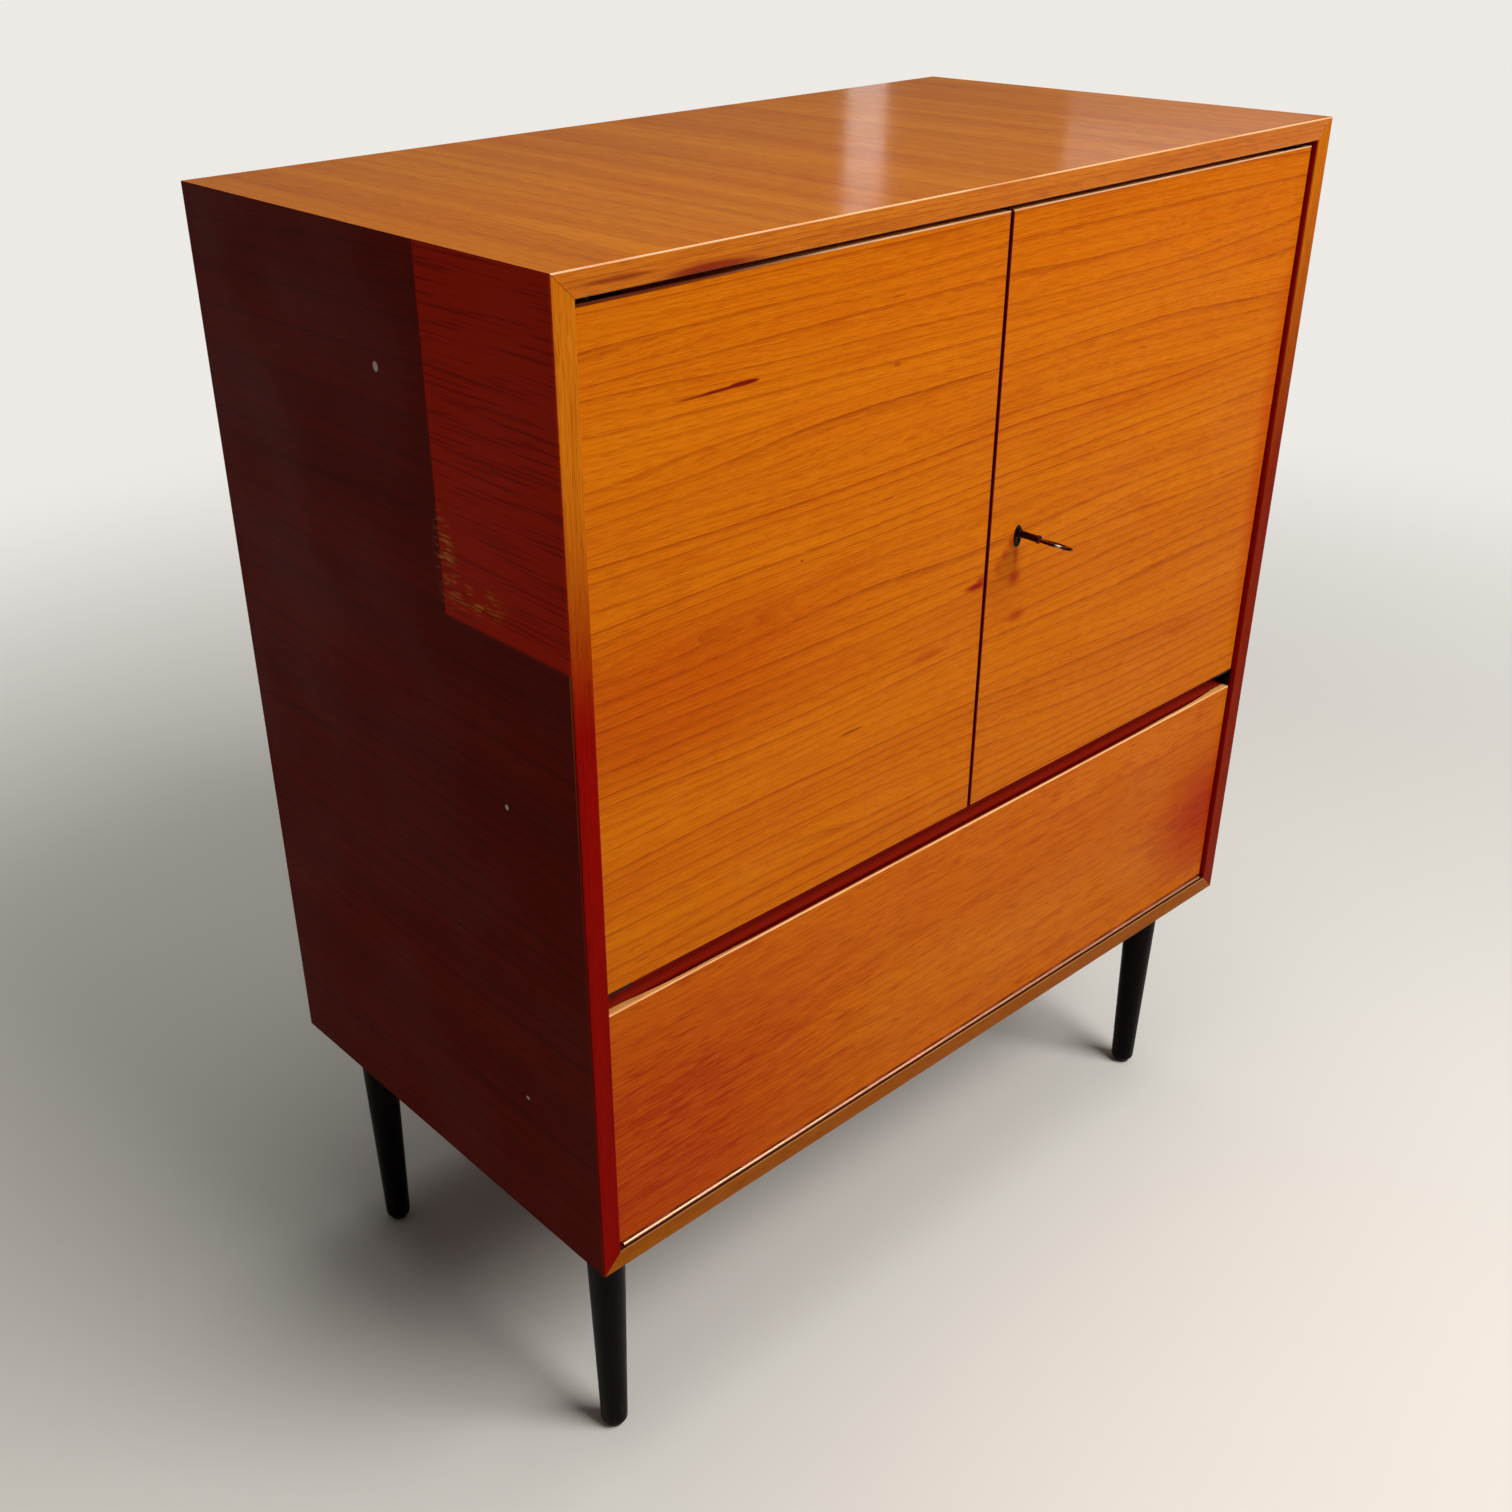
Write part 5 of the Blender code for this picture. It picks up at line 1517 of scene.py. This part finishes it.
@dataclass
class DropFlap:
    """The drop flap with its piano hinge, stays and catch."""

    lip: float = 0.0035
    groove: float = 0.006
    rubbed: str = "#F0BC86"
    rubbed_share: float = 0.85
    hinge_screw: SlottedScrew = SlottedScrew(0.0028, 0.0005)
    hinge_screws: int = 9
    hinge_screw_end: float = 0.03
    hinge_screw_back: float = 0.0045
    leaf_thickness: float = 0.0006
    screw: SlottedScrew = SlottedScrew(0.0030, 0.0009)
    base_thickness: float = 0.0015
    bracket_screw_shift: float = 0.003
    bracket_screw_end: float = 0.006
    plate_screw_end: float = 0.0055

    def front(self) -> None:
        """Dress the flap with plainer, flecked veneer, redder towards both ends, and dark behind its lip,
        with painted shade in the finger groove.
        """
        (left, face, _), (right, _, top) = corners("flap")
        height, behind_lip = middle("flap")[2], face + self.lip
        ledge = behind_lip + self.groove
        fleck, streaks, spots = "#8C1602", (34.0, 9.0, 1.2), (24.0, 5.0, 3.0)
        square = Outline.SQUARE
        marks = (
            Mark((left + 0.02, face, height - 0.05), (0.36, 0.5, 0.26), "#E8AC90", 0.9, 0.1, Blend.SOAK),
            Mark((left + 0.04, face, height - 0.03), (0.46, 0.5, 0.17), fleck, 0.7, 0.1, flecks_mm=streaks),
            Mark((left + 0.10, face, height), (0.30, 0.5, 0.11), fleck, 0.35, 0.1, flecks_mm=spots),
            Mark((right - 0.05, face, height - 0.04), (0.16, 0.5, 0.10), fleck, 0.4, 0.1, flecks_mm=streaks),
            Mark((right - 0.01, face, height - 0.03), (0.14, 0.5, 0.12), "#DC7C58", 0.9, 0.1, Blend.SOAK),
            Mark((0.0, ledge + 0.019, top), (2.0, 0.0215, 0.0045), "#860A04", 0.97, 0.95, outline=square),
            # Painted shade in the finger groove, behind the lip.
            Mark((0.0, behind_lip + 0.0033, top - 0.0065), (2.0, 0.0045, 0.0058), "#4C0402", 0.97, 0.85),
            # Dark red over the back of the lip's top in the middle, so that the painted highlight of its top
            # edge is narrower there.
            Mark((0.0, face + 0.0032, top), (0.345, 0.0013, 0.0045), "#7A0A04", 0.97, 0.8, outline=square),
        )
        edge, tone, share = highlit_top_edge("flap"), self.rubbed, self.rubbed_share
        finish = Timber("flap", "teak_veneer", TEAK_FLAP, Axis.X, tone, share, SATIN, (edge,), marks)
        dress_nodes(finish, "flap")

    def hinge(self) -> None:
        """Dress the hinge, and screw its fixed leaf to the bottom board."""
        leaf = "hinge_leaf_fixed"
        dress_nodes(BRASS_BARREL, leaf, "hinge_leaf_flap")
        dress_nodes(ZINC, "hinge_pin")
        low, high = corners(leaf)
        y, face = high[1] - self.hinge_screw_back, low[2] + self.leaf_thickness
        run = np.linspace(*within(leaf, Axis.X, self.hinge_screw_end), self.hinge_screws)
        self.hinge_screw.drive("hinge_screws", [(x, y, face) for x in run], UP, BRASS, "carcass")

    def stays(self) -> None:
        """Dress the stays, and screw their brackets to the flap and their anchor plates to the sides."""
        for hand in Hand:
            arm, bracket, pin = (f"{hand.word}_stay_{end}" for end in ("arm", "bracket", "pin"))
            dress_nodes(BRASS, arm, bracket, pin)
            # The bracket's ear stands at the outer end of its base, so both screws keep to the inner part.
            x = middle(bracket)[0] - hand.value * self.bracket_screw_shift
            face = corners(bracket)[0][1] + self.base_thickness
            spots = [(x, face, z) for z in within(bracket, Axis.Z, self.bracket_screw_end)]
            self.screw.drive(f"{bracket}_screws", spots, BACKWARD, BRASS, "flap")
            wall, height = hand.outer(pin) - hand.value * self.base_thickness, middle(pin)[2]
            spots = [(wall, y, height) for y in within(pin, Axis.Y, self.plate_screw_end)]
            self.screw.drive(f"{hand.word}_stay_plate_screws", spots, hand.inward, BRASS, "carcass")

    def build(self) -> None:
        """Build and dress the flap."""
        self.front()
        self.hinge()
        self.stays()
        dress_nodes(NYLON, "flap_catch")
        dress_nodes(ZINC, "catch_plate")


# Studio

SKY = linear("#F6F3EE")
SKY_SEEN = 0.92


@dataclass(frozen=True)
class Floor(Finish):
    """Painted studio floor: matt, pale and even, with faint marks of the roller."""

    name: str = "paint_matt_pale"
    paint: str = "#DAD6CE"
    rolled: str = "#D4CFC6"
    bounce: str = "#A8A49D"
    near: float = 0.9
    far: float = 3.2
    roughness: float = 0.9
    specular: float = 0.1

    def dress(self, draw: Sketch) -> None:
        """Paint the floor, let it fade into the sky, and leave it out from below.

        Args:
            draw: The sketch to draw in.
        """
        roll = draw.noise(900.0, SOFT, span=(0.0, 0.25), detail=3.0)
        colour = draw.tint(linear(self.paint), self.rolled, roll)
        seen = draw.seen_by("Is Camera Ray", "Is Glossy Ray", "Is Transmission Ray")
        shown = draw.add("Mix", {0: seen, 6: linear(self.bounce), 7: colour}, data_type="RGBA")
        sockets = {"Base Color": shown, "Roughness": self.roughness, "Specular IOR Level": self.specular}
        paint = draw.add("BsdfPrincipled", sockets)
        # Far from the cabinet the camera sees the sky's own tone, so floor and sky meet without a line.
        reach = draw.add("VectorMath", {0: draw.place}, operation="LENGTH")
        span = {"Value": reach, "From Min": self.near, "From Max": self.far}
        far = draw.add("MapRange", span, interpolation_type="SMOOTHSTEP")
        fade = draw.add("Math", {0: far, 1: seen}, operation="MULTIPLY")
        glow = draw.add("Emission", {"Color": SKY, "Strength": SKY_SEEN})
        above = draw.add("MixShader", {0: fade, 1: paint, 2: glow})
        # From below the floor isn't there, so that the underside can be looked at.
        below = draw.add("NewGeometry").outputs["Backfacing"]
        both = draw.add("MixShader", {0: below, 1: above, 2: draw.add("BsdfTransparent")})
        draw.wire(draw.output, {"Surface": both})


@dataclass(frozen=True)
class Lamp:
    """One soft studio panel."""

    name: str
    place: Point
    target: Point
    width: float
    height: float
    watts: float


@dataclass
class Studio:
    """The floor, the lamps, the sky and the camera."""

    floor_rings: tuple[float, ...] = (0.0, 0.5, 2.0, 8.0, 60.0)
    floor_steps: int = 64
    sky_strength: float = 0.11
    azimuth: float = math.radians(-41.02)
    elevation: float = math.radians(28.99)
    roll: float = math.radians(-1.10)
    eye: Point = (-1.1318, -1.1049, 1.3873)
    lens: float = 39.926
    shift: Pair = (0.0465, 0.0153)
    lamps: tuple[Lamp, ...] = (
        Lamp("key_panel", (0.75, -2.55, 3.1), (0.0, -0.2, 0.75), 2.2, 1.8, 140.0),
        Lamp("overhead_panel", (0.2, -0.2, 3.7), (0.0, 0.0, 1.1), 2.4, 2.0, 56.0),
        Lamp("window_strip", (1.95, 1.75, 1.56), (0.0, 0.0, 1.152), 0.09, 0.5, 0.09),
        Lamp("window_panel", (2.39, 1.18, 1.80), (0.0, 0.0, 1.152), 0.55, 0.66, 0.36),
    )

    def floor(self) -> None:
        """Lay the floor: rings of points about the origin at z = 0, with faces turned over to look up."""
        rings = np.array(self.floor_rings)
        shell = revolved(np.stack([rings, 0 * rings], axis=-1), self.floor_steps)
        mesh = bpy.data.meshes.new("studio_floor")
        mesh.from_pydata(shell.points.tolist(), [], shell.faces[:, ::-1].tolist())
        merge_doubles(mesh, closed=False)
        mesh.materials.append(Floor().material())
        placed_in_scene("studio_floor", mesh)

    def light(self) -> None:
        """Hang the panels and set an even sky, which the camera sees as the floor's own tone."""
        for lamp in self.lamps:
            data = bpy.data.lights.new(lamp.name, "AREA")
            data.shape = "RECTANGLE"
            data.size, data.size_y, data.energy = lamp.width, lamp.height, lamp.watts
            made = placed_in_scene(lamp.name, data)
            made.location = lamp.place
            aim = Vector(lamp.target) - Vector(lamp.place)
            made.rotation_euler = aim.to_track_quat("-Z", "Y").to_euler()
        world = bpy.data.worlds.new("studio_sky")
        bpy.context.scene.world = world
        world.use_nodes = True
        draw = Sketch(world.node_tree, "OutputWorld")
        # Glossy rays keep the dimmer sky: the polished top, seen almost edge-on, would else turn white.
        seen = draw.seen_by("Is Camera Ray", "Is Transmission Ray")
        even = draw.add("Background", {"Color": SKY, "Strength": self.sky_strength})
        pale = draw.add("Background", {"Color": SKY, "Strength": SKY_SEEN})
        draw.wire(draw.output, {"Surface": draw.add("MixShader", {0: seen, 1: even, 2: pale})})

    def camera(self) -> None:
        """Set the camera at the photograph's angle: aimed by azimuth and elevation, then rolled."""
        level = math.cos(self.elevation)
        right = Vector((math.cos(self.azimuth), math.sin(self.azimuth), 0.0))
        back = Vector((right.y * level, -right.x * level, math.sin(self.elevation)))
        up = back.cross(right)
        rolled = math.cos(self.roll) * right + math.sin(self.roll) * up
        raised = math.cos(self.roll) * up - math.sin(self.roll) * right
        data = bpy.data.cameras.new("photo_camera")
        data.lens = self.lens
        data.shift_x, data.shift_y = self.shift
        made = placed_in_scene("photo_camera", data)
        turn = Matrix((rolled, raised, back)).transposed().to_4x4()
        made.matrix_world = Matrix.Translation(self.eye) @ turn
        bpy.context.scene.camera = made
        bpy.context.scene.view_settings.view_transform = "Standard"

    def build(self) -> None:
        """Build the studio."""
        self.floor()
        self.light()
        self.camera()


def main() -> None:
    """Build the cabinet's sub-assemblies in order, then the studio."""
    logging.basicConfig(level=logging.INFO, format="%(name)s %(message)s")
    for part in (Carcass(), Underframe(), Doors(), Lock(), DropFlap(), Studio()):
        LOG.info("building %s", type(part).__name__)
        part.build()


if __name__ == "__main__":
    main()
